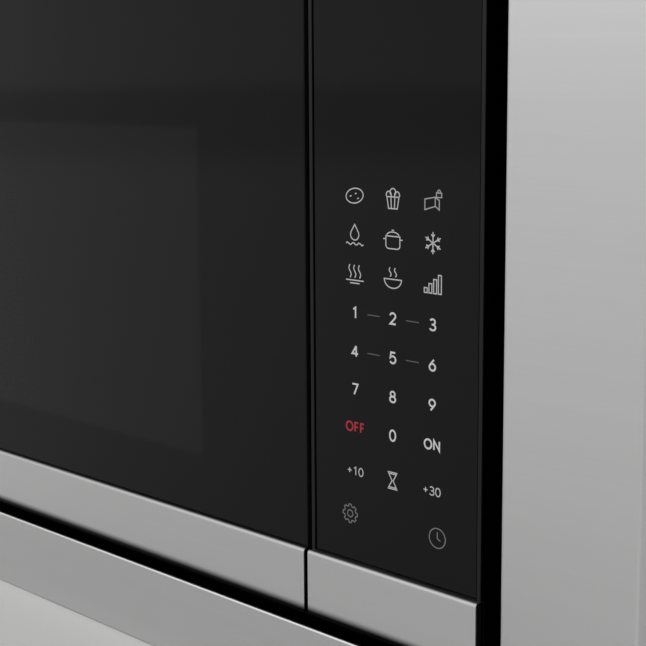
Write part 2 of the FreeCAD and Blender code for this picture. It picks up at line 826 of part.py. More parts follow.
def make_cavity():
    """Draw the oven cavity, its feed cover, lamp and thermal cut-outs."""
    outer_width = "cavity_width + 2 * cavity_sheet"
    outside = block(("cavity_left - cavity_sheet", "plate_back", "cavity_floor"),
                    (outer_width, "cavity_depth", "cavity_height + cavity_sheet"))
    inside = block(("cavity_left", "plate_back - overrun", "cavity_floor - overrun"),
                   ("cavity_width", "cavity_depth + 2 * overrun", "cavity_height + overrun"))
    through = "cavity_sheet + 2 * overrun"
    port = block(("cavity_right - overrun", "magnetron_y - port_depth / 2", "wave_bottom + port_rise"),
                 (through, "port_depth", "port_height"))
    lamp_hole = rod("x", ("cavity_right - overrun", "lamp_y", "lamp_z"), "lamp_hole_radius", through)
    publish("cavity_wrap", cut(cut(outside, inside), port, lamp_hole))

    floor = block(("cavity_left - cavity_sheet", "plate_back", "cavity_floor - cavity_sheet"),
                  (outer_width, "cavity_depth", "cavity_sheet"))
    cup = rod("z", ("cavity_middle", "cavity_centre", "dish_top - cavity_sheet"),
              "dish_radius + cavity_sheet", "dish_depth + cavity_sheet")
    dish = rod("z", ("cavity_middle", "cavity_centre", "dish_top"), "dish_radius", "dish_depth + overrun")
    spindle = rod("z", ("cavity_middle", "cavity_centre", "dish_top - cavity_sheet - overrun"),
                  "spindle_hole_radius", through)
    publish("cavity_floor", cut(cut(fuse(floor, cup), dish), spindle))
    publish("cavity_back", block(
        ("cavity_left - cavity_sheet", "cavity_rear", "cavity_floor - cavity_sheet"),
        (outer_width, "cavity_sheet", "cavity_height + 2 * cavity_sheet")))
    publish("mica_cover", block(
        ("cavity_right - mica_thick", "magnetron_y - port_depth / 2 - mica_lap",
         "wave_bottom + port_rise - mica_lap"),
        ("mica_thick", "port_depth + 2 * mica_lap", "port_height + 2 * mica_lap")))

    cup_bore = "lamp_cup_radius - lamp_cup_wall"
    socket = "lamp_socket_radius + lamp_socket_fit"
    lamp_cup = (
        (cup_bore, "0"),
        ("lamp_cup_radius", "0"),
        ("lamp_cup_radius", "lamp_cup_length"),
        (socket, "lamp_cup_length"),
        (socket, "lamp_cup_length - lamp_cup_wall"),
        (cup_bore, "lamp_cup_length - lamp_cup_wall"),
    )
    publish("lamp_holder", turned("x", lamp_cup, ("bay_left", "lamp_y", "lamp_z")))
    bulb = (
        ("0", "lamp_tip_gap"),
        ("lamp_bulb_radius / 2", "lamp_tip_gap"),
        ("lamp_bulb_radius", "lamp_tip_gap + lamp_bulb_radius / 2"),
        ("lamp_bulb_radius", "lamp_cup_length - lamp_neck - lamp_bulb_radius / 2"),
        ("lamp_socket_radius", "lamp_cup_length - lamp_neck"),
        ("lamp_socket_radius", "lamp_cup_length"),
        ("0", "lamp_cup_length"),
    )
    publish("lamp_bulb", turned("x", bulb, ("bay_left", "lamp_y", "lamp_z")))
    on_ceiling = ("cavity_middle", "plate_back + cavity_depth * cutout_share",
                  "cavity_ceiling + cavity_sheet")
    on_yoke = ("wave_right + yoke_length / 2", "magnetron_y", "magnetron_z + yoke_height / 2")
    publish("thermal_cutouts", group(
        rod("z", spot, "cutout_radius", "cutout_height") for spot in (on_ceiling, on_yoke)))


def make_source():
    """Draw the waveguide and the magnetron on its outer face."""
    outside = block(("bay_left", "wave_front", "wave_bottom"),
                    ("waveguide_width", "waveguide_depth", "waveguide_height"))
    inside = block(("bay_left - overrun", "wave_front + waveguide_sheet", "wave_bottom + waveguide_sheet"),
                   ("waveguide_width - waveguide_sheet + overrun", "waveguide_depth - 2 * waveguide_sheet",
                    "waveguide_height - 2 * waveguide_sheet"))
    hole = rod("x", ("wave_right - waveguide_sheet - overrun", "magnetron_y", "magnetron_z"),
               "antenna_hole_radius", "waveguide_sheet + 2 * overrun")
    publish("waveguide", cut(outside, inside, hole))

    low = ("magnetron_y - yoke_depth / 2", "magnetron_z - yoke_height / 2")
    frame = block(("wave_right", *low), ("yoke_length", "yoke_depth", "yoke_height"))
    space = block(("wave_right + yoke_sheet", f"{low[0]} - overrun", f"{low[1]} - overrun"),
                  ("yoke_length - 2 * yoke_sheet", "yoke_depth + 2 * overrun",
                   "yoke_height - yoke_sheet + overrun"))
    axle = rod("x", ("wave_right - overrun", "magnetron_y", "magnetron_z"),
               "core_neck_radius + core_fit", "yoke_length + 2 * overrun")
    publish("magnetron_yoke", cut(cut(frame, space), axle))

    near = "yoke_sheet + magnet_thick"
    far = "yoke_length - yoke_sheet - magnet_thick"
    core = (
        ("0", "-antenna_reach"),
        ("antenna_radius", "-antenna_reach"),
        ("antenna_radius", "0"),
        ("core_neck_radius", "0"),
        ("core_neck_radius", "yoke_sheet"),
        ("magnet_radius", "yoke_sheet"),
        ("magnet_radius", near),
        ("anode_radius", near),
        ("anode_radius", far),
        ("magnet_radius", far),
        ("magnet_radius", "yoke_length - yoke_sheet"),
        ("core_neck_radius", "yoke_length - yoke_sheet"),
        ("core_neck_radius", "yoke_length"),
        ("0", "yoke_length"),
    )
    publish("magnetron_core", turned("x", core, ("wave_right", "magnetron_y", "magnetron_z")))
    fins = []
    for index in range(FINS):
        x = f"wave_right + {near} + fin_margin + {index} * fin_pitch"
        fin = block((x, "magnetron_y - fin_depth / 2", "magnetron_z - fin_height / 2"),
                    ("fin_thick", "fin_depth", "fin_height"))
        bore = rod("x", (f"{x} - overrun", "magnetron_y", "magnetron_z"),
                   "anode_radius + core_fit", "fin_thick + 2 * overrun")
        fins.append(cut(fin, bore))
    publish("magnetron_fins", group(fins))

    box_low = ("magnetron_y - filter_depth / 2", "magnetron_z - filter_height / 2")
    shell = block(("yoke_end", *box_low), ("filter_length", "filter_depth", "filter_height"))
    hollow = block(("yoke_end - overrun", f"{box_low[0]} + waveguide_sheet",
                    f"{box_low[1]} + waveguide_sheet"),
                   ("filter_length - waveguide_sheet + overrun", "filter_depth - 2 * waveguide_sheet",
                    "filter_height - 2 * waveguide_sheet"))
    publish("magnetron_filter_box", cut(shell, hollow))


def make_supply():
    """Draw the transformer, the capacitor with its clamp and the noise filter board."""
    core = block(("core_x", "core_y", "base_top"), ("core_thick", "core_depth", "core_height"))
    windows = []
    for near in ("core_y + core_side_limb", "limb_y + core_limb"):
        windows.append(block(("core_x - overrun", near, "base_top + core_side_limb"),
                             ("core_thick + 2 * overrun", "core_window", "core_window_height")))
    publish("transformer_core", cut(core, *windows))

    wound = "(core_window_height - 3 * coil_gap) / 2"
    coils = []
    for index in range(2):
        height = f"base_top + core_side_limb + coil_gap + {index} * ({wound} + coil_gap)"
        ring = block(("core_x - coil_overhang", "limb_y - core_window + coil_gap", height),
                     ("core_thick + 2 * coil_overhang", "core_limb + 2 * core_window - 2 * coil_gap", wound))
        limb = block(("core_x - coil_gap / 2", "limb_y - coil_gap / 2", f"{height} - overrun"),
                     ("core_thick + coil_gap", "core_limb + coil_gap", f"{wound} + 2 * overrun"))
        coils.append(cut(ring, limb))
    publish("transformer_coils", group(coils))

    can_x = "bay_left + can_inset"
    can_y = "plate_back + can_setback"
    middle = "base_top + can_height / 2"
    body = block((f"{can_x} + can_height / 2", can_y, "base_top"),
                 ("can_width - can_height", "can_length", "can_height"))
    ends = [rod("y", (x, can_y, middle), "can_height / 2", "can_length")
            for x in (f"{can_x} + can_height / 2", f"{can_x} + can_width - can_height / 2")]
    blades = [block((f"{can_x} + can_width / 2 + {signed(side, 'terminal_spread / 2')} - terminal_width / 2",
                     f"{can_y} - terminal_length", middle),
                    ("terminal_width", "terminal_length", "terminal_thick")) for side in SIDES]
    publish("capacitor", fuse(body, *ends, *blades))

    strap_y = f"{can_y} + can_length / 2 - clamp_width / 2"
    wall = "(clamp_fit + clamp_sheet)"
    hoop = block((f"{can_x} - {wall}", strap_y, "base_top"),
                 (f"can_width + 2 * {wall}", "clamp_width", f"can_height + {wall}"))
    room = block((f"{can_x} - clamp_fit", f"{strap_y} - overrun", "base_top - overrun"),
                 ("can_width + 2 * clamp_fit", "clamp_width + 2 * overrun",
                  "can_height + clamp_fit + overrun"))
    toes = [block((x, strap_y, "base_top"), ("clamp_foot", "clamp_width", "clamp_sheet"))
            for x in (f"{can_x} - clamp_fit - clamp_foot", f"{can_x} + can_width + clamp_fit")]
    publish("capacitor_clamp", fuse(cut(hoop, room), *toes))

    left = "bay_middle - filter_board_width / 2"
    low = "cover_top - filter_board_drop - filter_board_height"
    face = "bulkhead_back + standoff"
    card = block((left, face, low), ("filter_board_width", "board_thick", "filter_board_height"))
    posts = []
    for x in (f"{left} + board_edge", f"{left} + filter_board_width - board_edge"):
        for z in (f"{low} + board_edge", f"{low} + filter_board_height - board_edge"):
            posts.append(rod("y", (x, "bulkhead_back", z), "standoff_radius", "standoff"))
    chokes = [block((f"bay_middle {sign} choke_block - choke_block / 2", f"{face} + board_thick",
                     f"{low} + filter_board_height / 2 - choke_block / 2"),
                    ("choke_block",) * 3) for sign in "-+"]
    publish("noise_filter_board", fuse(card, *posts, *chokes))


def make_fan():
    """Draw the bulkhead across the bay and the fan that blows through it."""
    plate = block(("bay_left", "bulkhead_y", "base_top"),
                  ("bay_right - bay_left", "bulkhead_sheet", "cover_top - cover_sheet - base_top"))
    hole = rod("y", ("bay_middle", "bulkhead_y - overrun", "fan_z"), "fan_hole_radius",
               "bulkhead_sheet + 2 * overrun")
    publish("fan_bulkhead", cut(plate, hole))

    foot = "(fan_hole_radius + strap_lap)"
    strap = (
        ("0", foot),
        ("strap_depth", foot),
        ("strap_depth", f"-{foot}"),
        ("0", f"-{foot}"),
        ("0", f"-{foot} + strap_sheet"),
        ("strap_depth - strap_sheet", f"-{foot} + strap_sheet"),
        ("strap_depth - strap_sheet", f"{foot} - strap_sheet"),
        ("0", f"{foot} - strap_sheet"),
    )
    hoop = profile("YZ_Plane", strap, "strap_width",
                   ("bay_middle - strap_width / 2", "bulkhead_back", "fan_z"))
    bearing = rod("y", ("bay_middle", "strap_back - strap_sheet - overrun", "fan_z"),
                  "fan_shaft_radius + bearing_fit", "strap_sheet + 2 * overrun")
    publish("fan_strap", cut(hoop, bearing))
    stator = block(("bay_middle - stator_width / 2", "strap_back", "fan_z - stator_width / 2"),
                   ("stator_width", "stator_depth", "stator_width"))
    bore = rod("y", ("bay_middle", "strap_back - overrun", "fan_z"), "stator_bore_radius",
               "shaft_end + 2 * overrun")
    publish("fan_motor", cut(stator, bore))

    rotor = doc.addObject("PartDesign::Body", "rotor")
    rotor.Placement = Placement(Vector(), TURN["y"])
    hub = rotor.newObject("PartDesign::Revolution", "hub")
    shaft_tip = "strap_back + shaft_end - bulkhead_y"
    hub.Profile = outline(rotor, "XZ_Plane", (
        ("0", "-fan_height / 2"),
        ("fan_hub_radius", "-fan_height / 2"),
        ("fan_hub_radius", "fan_height / 2"),
        ("fan_shaft_radius", "fan_height / 2"),
        ("fan_shaft_radius", shaft_tip),
        ("0", shaft_tip),
    ))
    hub.ReferenceAxis = (hub.Profile[0], ["V_Axis"])
    hub.Angle = 360
    blade = pad(rotor, "YZ_Plane", (
        ("-fan_chord / 2", "-fan_height / 2"),
        ("-fan_chord / 2 + fan_blade", "-fan_height / 2"),
        ("fan_chord / 2", "fan_height / 2"),
        ("fan_chord / 2 - fan_blade", "fan_height / 2"),
    ), "fan_tip_radius")
    ring_of(rotor, blade, BLADES)
    publish("fan_rotor", place(rotor, ("bay_middle", "bulkhead_y", "fan_z")))


def make_turntable():
    """Draw the motor under the floor, the coupler, the roller spider and the tray."""
    centre = ("cavity_middle", "cavity_centre")
    can = rod("z", (*centre, "motor_top - motor_height"), "motor_radius", "motor_height")
    ears = block(("cavity_middle - motor_radius - motor_ear", "cavity_centre - motor_ear_width / 2",
                  "motor_top - motor_ear_sheet"),
                 ("2 * (motor_radius + motor_ear)", "motor_ear_width", "motor_ear_sheet"))
    socket = rod("z", (*centre, "motor_top - spindle_sink - overrun"), "spindle_radius + bearing_fit",
                 "spindle_sink + 2 * overrun")
    publish("turntable_motor", cut(fuse(can, ears), socket))

    coupler = doc.addObject("PartDesign::Body", "coupler")
    hub_low = "coupler_lift"
    hub_top = "tray_bottom - tray_rest_gap - dish_top"
    hub = coupler.newObject("PartDesign::Revolution", "hub")
    hub.Profile = outline(coupler, "XZ_Plane", (
        ("0", "-cavity_sheet - spindle_sink"),
        ("spindle_radius", "-cavity_sheet - spindle_sink"),
        ("spindle_radius", hub_low),
        ("coupler_radius", hub_low),
        ("coupler_radius", hub_top),
        ("0", hub_top),
    ))
    hub.ReferenceAxis = (hub.Profile[0], ["V_Axis"])
    hub.Angle = 360
    lobe = pad(coupler, "YZ_Plane", (
        ("-lobe_width / 2", hub_low),
        ("lobe_width / 2", hub_low),
        ("lobe_width / 2", hub_top),
        ("-lobe_width / 2", hub_top),
    ), "lobe_reach")
    ring_of(coupler, lobe, ROLLERS)
    publish("turntable_coupler", place(coupler, (*centre, "dish_top")))

    spider = doc.addObject("PartDesign::Body", "spider")
    hub = spider.newObject("PartDesign::Revolution", "hub")
    rim = "spider_bore_radius + spider_hub_wall"
    hub.Profile = outline(spider, "XZ_Plane", (
        ("spider_bore_radius", "-spider_thick / 2"),
        (rim, "-spider_thick / 2"),
        (rim, "spider_thick / 2"),
        ("spider_bore_radius", "spider_thick / 2"),
    ))
    hub.ReferenceAxis = (hub.Profile[0], ["V_Axis"])
    hub.Angle = 360
    arm_end = "roller_circle - roller_width / 2 - roller_side_gap"
    arm = pad(spider, "XY_Plane", (
        ("spider_bore_radius + spider_hub_wall / 2", "-spider_arm_width / 2"),
        (arm_end, "-spider_arm_width / 2"),
        (arm_end, "spider_arm_width / 2"),
        ("spider_bore_radius + spider_hub_wall / 2", "spider_arm_width / 2"),
    ), "spider_thick / 2")
    arm.Midplane = False
    arm.Type2 = "Length"
    arm.SideType = "Two sides"
    bind(arm, "Length2", "spider_thick / 2")
    ring_of(spider, arm, ROLLERS)
    place(spider, (*centre, "axle_height"))
    axles = []
    cap = "roller_circle + roller_width / 2 + roller_side_gap"
    for index in range(ROLLERS):
        axle = (
            ("0", arm_end),
            ("axle_radius", arm_end),
            ("axle_radius", cap),
            ("axle_cap_radius", cap),
            ("axle_cap_radius", f"{cap} + axle_cap"),
            ("0", f"{cap} + axle_cap"),
        )
        axles.append(radial(axle, index))
    publish("roller_spider", fuse(spider, *axles))
    bore = "axle_radius + axle_fit"
    wheel = (
        (bore, "roller_circle - roller_width / 2"),
        ("roller_radius", "roller_circle - roller_width / 2"),
        ("roller_radius", "roller_circle + roller_width / 2"),
        (bore, "roller_circle + roller_width / 2"),
    )
    for index in range(ROLLERS):
        publish(f"roller_{index + 1}", radial(wheel, index))

    tray = turned("z", (
        ("0", "0"),
        ("tray_flat_radius", "0"),
        ("tray_radius", "tray_rim - tray_rim_land"),
        ("tray_radius", "tray_rim"),
        ("tray_radius - tray_rim_land", "tray_rim"),
        ("tray_flat_radius - tray_rim_land", "tray_thick"),
        ("0", "tray_thick"),
    ), (*centre, "tray_bottom"))
    lugs = []
    for index in range(ROLLERS):
        angle = 360 * (index + 0.5) / ROLLERS
        lugs.append(rod("z", (f"cavity_middle + lug_circle * cos({angle} deg)",
                              f"cavity_centre + lug_circle * sin({angle} deg)", "tray_bottom - lug_height"),
                        "lug_radius", "lug_height + tray_thick / 2"))
    publish("glass_tray", fuse(tray, *lugs))


def radial(points, index):
    """Return a piece turned about one spoke of the spider."""
    body = turned("z", points, ("cavity_middle", "cavity_centre", "axle_height"))
    spoke = Rotation(Vector(0, 0, 1), 360 * index / ROLLERS)
    body.Placement.Rotation = spoke.multiply(TURN["x"])
    return body


def strip(left, width):
    """Return a stainless strip folded over the foot of the door or panel."""
    corners = (
        ("strip_return", "strip_height"),
        ("0", "strip_height"),
        ("0", "0"),
        ("strip_return", "0"),
        ("strip_return", "strip_sheet"),
        ("strip_sheet", "strip_sheet"),
        ("strip_sheet", "strip_height - strip_sheet"),
        ("strip_return", "strip_height - strip_sheet"),
    )
    body = profile("YZ_Plane", corners, width, (left, "strip_face", "front_bottom"))
    for y, z, bend in (
        ("0", "strip_height", "strip_top_bend"),
        ("0", "0", "strip_bottom_bend"),
        ("strip_sheet", "strip_height - strip_sheet", "strip_top_bend - strip_sheet"),
        ("strip_sheet", "strip_sheet", "strip_bottom_bend - strip_sheet"),
    ):
        edge = both(lies_at("y", f"strip_face + {y}"), lies_at("z", f"front_bottom + {z}"))
        dress(body, "PartDesign::Fillet", "Radius", bend, edge)
    return body


def strip_backing(left, width):
    """Return the moulded bar that fills the fold of a strip."""
    return block((f"{left} + strip_end_gap", "strip_face + strip_sheet", "front_bottom + strip_bottom_bend"),
                 (f"{width} - 2 * strip_end_gap", "strip_proud + glass_thick - strip_sheet",
                  "strip_height - strip_bottom_bend - strip_top_bend"))


def glass(left, width, height, face):
    """Return a front glass with bevelled front edges, standing on a strip."""
    points = (("0", "0"), (width, "0"), (width, height), ("0", height))
    body = profile("XZ_Plane", points, f"glass_back - ({face})", (left, face, "strip_top + glass_seam"))
    return dress(body, "PartDesign::Chamfer", "Size", "glass_bevel", lies_at("y", face))


def make_panel():
    """Draw the control panel: frame, glass, strip, board and display."""
    tub = block(("panel_left", "glass_back", "front_bottom"),
                ("panel_width", "plate_face - glass_back", "front_height"))
    lip = block(("panel_left", "glass_face + rim_setback", "strip_top"),
                ("panel_width", "glass_thick - rim_setback", "front_height - strip_height"))
    shell = fuse(tub, lip, strip_backing("panel_left", "panel_width"))
    seat = block(("panel_left + panel_rim - glass_seam", "glass_face - overrun", "strip_top - overrun"),
                 ("panel_width - 2 * panel_rim + 2 * glass_seam", "glass_thick + overrun",
                  "front_height - strip_height - panel_rim + glass_seam + overrun"))
    hollow = block(("panel_left + panel_wall", "glass_back + panel_web", "front_bottom + panel_wall"),
                   ("panel_width - 2 * panel_wall", "plate_face - glass_back",
                    "front_height - 2 * panel_wall"))
    view = block(("panel_middle - display_width / 2 - display_fit", "glass_back - overrun",
                  "front_top - display_drop - display_height / 2 - display_fit"),
                 ("display_width + 2 * display_fit", "panel_web + 2 * overrun",
                  "display_height + 2 * display_fit"))
    shell = cut(cut(cut(shell, seat), hollow), view)
    board_left = "panel_middle - board_width / 2"
    board_low = "front_bottom + board_rise"
    posts = []
    for x in (f"{board_left} + board_edge", f"{board_left} + board_width - board_edge"):
        for z in (f"{board_low} + board_edge", f"{board_low} + board_height - board_edge"):
            posts.append(rod("y", (x, "glass_back + panel_web / 2", z), "standoff_radius",
                             "board_standoff + panel_web / 2"))
    publish("panel_frame", fuse(shell, *posts))
    publish("panel_glass", glass("panel_left + panel_rim", "panel_width - 2 * panel_rim",
                                 "front_height - strip_height - panel_rim - glass_seam",
                                 "glass_face + panel_glass_setback"))
    publish("panel_strip", strip("panel_left", "panel_width"))

    card = block((board_left, "board_face", board_low), ("board_width", "board_thick", "board_height"))
    relays = slots((f"{board_left} + relay_width", "board_face + board_thick", f"{board_low} + relay_rise"),
                   ("relay_width", "relay_depth", "relay_width"), "z", "relay_pitch", RELAYS)
    publish("control_board", fuse(card, *relays))
    publish("display_module", block(
        ("panel_middle - display_width / 2", "glass_back", "front_top - display_drop - display_height / 2"),
        ("display_width", "board_face - glass_back", "display_height")))


def hook_slots(near, depth, drop):
    """Return the two slots that the latch hooks pass through."""
    cuts = []
    for side in SIDES:
        low = f"{signed(side, 'hook_half_spacing')} - hook_arm / 2 - {drop} - hook_slot_gap"
        cuts.append(block(("hook_x - hook_thick / 2 - hook_slot_gap", near, low),
                          ("hook_thick + 2 * hook_slot_gap", depth,
                           f"hook_arm + {drop} + hook_travel + 2 * hook_slot_gap")))
    return cuts


def make_door():
    """Draw the door: frame, glass, strip, inner panel, pane, choke cover and hooks."""
    slab = block(("front_left", "glass_back", "front_bottom"),
                 ("door_width", "front_back - glass_back", "front_height"))
    doc.recompute()
    slab = soften(slab, "door_back_round", both(lies_at("x", "front_left"), lies_at("y", "front_back")))
    hollow = block(("front_left + door_wall", "glass_back + door_web", "front_bottom + door_wall"),
                   ("door_width - 2 * door_wall", "front_depth", "front_height - 2 * door_wall"))
    window = block(("window_left", "glass_back - overrun", "window_bottom"),
                   ("window_width", "door_web + 2 * overrun", "window_height"))
    shell = cut(cut(slab, hollow), window)
    bosses = []
    seats = []
    for end in SIDES:
        low = start(end, "front_height / 2 - boss_height", "boss_height")
        bosses.append(block(("front_left + door_wall / 2", "glass_back + door_web / 2", low),
                            ("boss_width", "boss_depth", "boss_height")))
        seats.append(rod("z", ("hinge_x", "hinge_y", start(end, "front_height / 2 - bush_length",
                                                          "bush_length + overrun")),
                         "bush_radius + bush_seat_fit", "bush_length + overrun"))
    shell = fuse(shell, *bosses, strip_backing("front_left", "door_width"))
    publish("door_frame", cut(shell, *seats))
    publish("door_glass", glass("front_left", "door_width", "front_height - strip_height - glass_seam",
                                "glass_face"))
    publish("door_strip", strip("front_left", "door_width"))

    inset = "door_wall + inner_gap"
    across = (f"door_width - 2 * ({inset})", f"front_height - 2 * ({inset})")
    sheet_metal = block((f"front_left + {inset}", "choke_face - plate_sheet", f"front_bottom + {inset}"),
                        (across[0], "plate_sheet", across[1]))
    publish("door_inner_panel", cut(sheet_metal, *hook_slots(
        "choke_face - plate_sheet - overrun", "plate_sheet + 2 * overrun", "hook_slot_gap")))
    publish("door_window_pane", block(
        ("window_left - pane_lap", "choke_face", "window_bottom - pane_lap"),
        ("window_width + 2 * pane_lap", "pane_thick", "window_height + 2 * pane_lap")))
    ring = block((f"front_left + {inset}", "choke_face", f"front_bottom + {inset}"),
                 (across[0], "choke_cover_thick", across[1]))
    sight = block(("window_left - pane_lap - inner_gap", "choke_face - overrun",
                   "window_bottom - pane_lap - inner_gap"),
                  ("window_width + 2 * pane_lap + 2 * inner_gap", "choke_cover_thick + 2 * overrun",
                   "window_height + 2 * pane_lap + 2 * inner_gap"))
    publish("door_choke_cover", cut(ring, sight, *hook_slots(
        "choke_face - overrun", "choke_cover_thick + 2 * overrun", "hook_slot_gap")))
    make_hooks()
    make_hinges()


def make_hooks():
    """Draw the latch bar with its two hooks."""
    top = "hook_half_spacing + hook_arm / 2"
    corners = [("hook_bar_back - hook_bar", f"-{top}"), ("hook_bar_back - hook_bar", top)]
    for side in (1, -1):
        middle = signed(side, "hook_half_spacing")
        corners += [
            ("hook_tip", f"{middle} + hook_arm / 2"),
            ("hook_tip", f"{middle} - hook_arm / 2 - hook_nose"),
            ("hook_tip - hook_nose_length", f"{middle} - hook_arm / 2 - hook_nose"),
            ("hook_tip - hook_nose_length", f"{middle} - hook_arm / 2"),
            ("hook_bar_back", f"{middle} - hook_arm / 2"),
        ]
        if side > 0:
            corners.append(("hook_bar_back", "-hook_half_spacing + hook_arm / 2"))
    corners[-1] = ("hook_bar_back - hook_bar", f"-{top}")
    publish("latch_hooks", profile("YZ_Plane", corners[1:], "hook_thick",
                                   ("hook_x - hook_thick / 2", "0", "0")))


def make_hinges():
    """Draw the hinge brackets with their pins and the bushings in the door."""
    brackets = []
    bushings = []
    for end in SIDES:
        arm_low = start(end, "front_height / 2 + hinge_gap", "hinge_arm_thick")
        arm = block(("hinge_x - hinge_arm_width / 2", "hinge_y - hinge_arm_nose", arm_low),
                    ("hinge_arm_width", "plate_face - hinge_y + hinge_arm_nose", "hinge_arm_thick"))
        leg_length = "hinge_leg + hinge_gap"
        leg = block(("hinge_x - hinge_arm_width / 2", "plate_face - hinge_leg_sheet",
                     start(end, "front_height / 2 - hinge_leg", leg_length)),
                    ("hinge_arm_width", "hinge_leg_sheet", leg_length))
        pin_length = "hinge_pin + hinge_gap"
        pin = rod("z", ("hinge_x", "hinge_y", start(end, "front_height / 2 - hinge_pin", pin_length)),
                  "hinge_pin_radius", pin_length)
        brackets.append(fuse(arm, leg, pin))
        sleeve = rod("z", ("hinge_x", "hinge_y", start(end, "front_height / 2 - bush_length", "bush_length")),
                     "bush_radius", "bush_length")
        flange = rod("z", ("hinge_x", "hinge_y", start(end, "front_height / 2", "bush_flange")),
                     "bush_flange_radius", "bush_flange")
        bore_length = "bush_length + 2 * overrun"
        bore = rod("z", ("hinge_x", "hinge_y",
                         start(end, "front_height / 2 - bush_length - overrun", bore_length + " + overrun")),
                   "hinge_pin_radius + hinge_fit", bore_length + " + overrun")
        bushings.append(cut(fuse(sleeve, flange), bore))
    publish("hinge_brackets", group(brackets))
    publish("hinge_bushings", group(bushings))


def make_interlock():
    """Draw the latch base behind the front plate, its switches and the unlock solenoid."""
    base = block(("latch_left", "plate_back", "-latch_height / 2"),
                 ("latch_width", "latch_depth", "latch_height"))
    pockets = []
    for side in SIDES:
        low = f"{signed(side, 'hook_half_spacing')} - hook_arm / 2 - hook_nose - hook_slot_gap"
        pockets.append(block(("hook_x - hook_thick / 2 - hook_slot_gap", "plate_back - overrun", low),
                             ("hook_thick + 2 * hook_slot_gap", "latch_pocket_depth + overrun",
                              "hook_arm + hook_nose + hook_travel + 2 * hook_slot_gap")))
    axis_y = "plate_back + solenoid_setback + solenoid_size / 2"
    guide = rod("x", ("latch_left - overrun", axis_y, "0"), "plunger_hole_radius",
                "latch_width + 2 * overrun")
    publish("latch_base", cut(base, *pockets, guide))
    switches = [block(("latch_right", "plate_back + switch_setback", low),
                      ("switch_thick", "switch_length", "switch_height"))
                for low in ("-switch_low_drop", "switch_mid_rise", "switch_high_rise")]
    publish("interlock_switches", group(switches))
    coil = block(("latch_right", "plate_back + solenoid_setback", "-solenoid_size / 2"),
                 ("solenoid_length", "solenoid_size", "solenoid_size"))
    bore = rod("x", ("latch_right - overrun", axis_y, "0"), "plunger_radius + plunger_fit",
               "solenoid_length + 2 * overrun")
    publish("unlock_solenoid", cut(coil, bore))
    publish("solenoid_plunger", rod("x", ("latch_right - plunger_reach", axis_y, "0"),
                                    "plunger_radius", "plunger_length"))


make_trim()
make_chassis()
make_cavity()
make_source()
make_supply()
make_fan()
make_turntable()
make_panel()
make_door()
make_interlock()
doc.recompute()

for piece in pieces:
    if "Invalid" in piece.State or "Error" in piece.State:
        raise RuntimeError(f"{piece.Label} did not build: {piece.State}")
    if piece.Shape.isNull() or not piece.Shape.isValid() or not piece.Shape.Solids:
        raise RuntimeError(f"{piece.Label} is not a sound solid")
for piece in pieces:
    piece.Shape.exportStep(f"parts/{piece.Label}.step")
print(len(pieces), "pieces written")
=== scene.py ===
"""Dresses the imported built-in microwave oven with finishes, legends, pressings, screws, seals and screens.

It also sets up the floor, the light and the camera.

Everything is in metres in the shared frame: +X to the viewer's right, +Y into the cabinet, +Z up.
"""
import logging
import math
from collections.abc import Iterable, Sequence
from dataclasses import dataclass
from enum import Enum

import bmesh
import bpy
from mathutils import Euler, Matrix, Vector
from mathutils.geometry import tessellate_polygon


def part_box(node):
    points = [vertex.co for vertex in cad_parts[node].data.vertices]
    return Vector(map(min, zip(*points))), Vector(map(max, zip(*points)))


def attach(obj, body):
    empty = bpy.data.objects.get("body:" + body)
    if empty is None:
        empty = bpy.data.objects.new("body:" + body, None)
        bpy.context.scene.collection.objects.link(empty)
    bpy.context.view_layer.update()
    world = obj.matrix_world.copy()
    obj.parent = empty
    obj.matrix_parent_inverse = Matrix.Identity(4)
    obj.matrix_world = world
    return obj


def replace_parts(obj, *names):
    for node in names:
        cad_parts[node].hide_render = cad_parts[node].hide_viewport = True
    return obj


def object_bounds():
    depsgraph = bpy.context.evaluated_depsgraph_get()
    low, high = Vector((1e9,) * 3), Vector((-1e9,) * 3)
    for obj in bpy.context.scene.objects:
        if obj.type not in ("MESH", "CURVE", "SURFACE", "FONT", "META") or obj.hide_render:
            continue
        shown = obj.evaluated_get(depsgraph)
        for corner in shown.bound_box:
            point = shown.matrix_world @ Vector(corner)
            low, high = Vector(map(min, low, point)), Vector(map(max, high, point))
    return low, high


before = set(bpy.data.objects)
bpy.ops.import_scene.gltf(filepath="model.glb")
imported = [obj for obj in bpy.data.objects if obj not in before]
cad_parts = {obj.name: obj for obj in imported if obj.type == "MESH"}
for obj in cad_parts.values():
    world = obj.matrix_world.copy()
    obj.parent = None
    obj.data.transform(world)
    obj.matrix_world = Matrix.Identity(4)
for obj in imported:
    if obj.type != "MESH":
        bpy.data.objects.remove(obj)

CAD_BOX = [list(corner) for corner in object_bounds()]
MM = 0.001
LOG = logging.getLogger("oven")
RIGHT = Vector((1, 0, 0))
BACK = Vector((0, 1, 0))
UP = Vector((0, 0, 1))

Colour = tuple[float, float, float]
Place = tuple[float, float, float]
Point = tuple[float, float]
Line = tuple[list[Point], bool]
Face = tuple[int, ...]
OPEN = False
CLOSED = True

# Places of the colour sockets on Blender's Mix node.
MIX_FIRST = 6
MIX_SECOND = 7
MIX_RESULT = 2


class Axis(Enum):
    """A direction on the object, by its place among the three coordinates."""

    X = 0
    Y = 1
    Z = 2


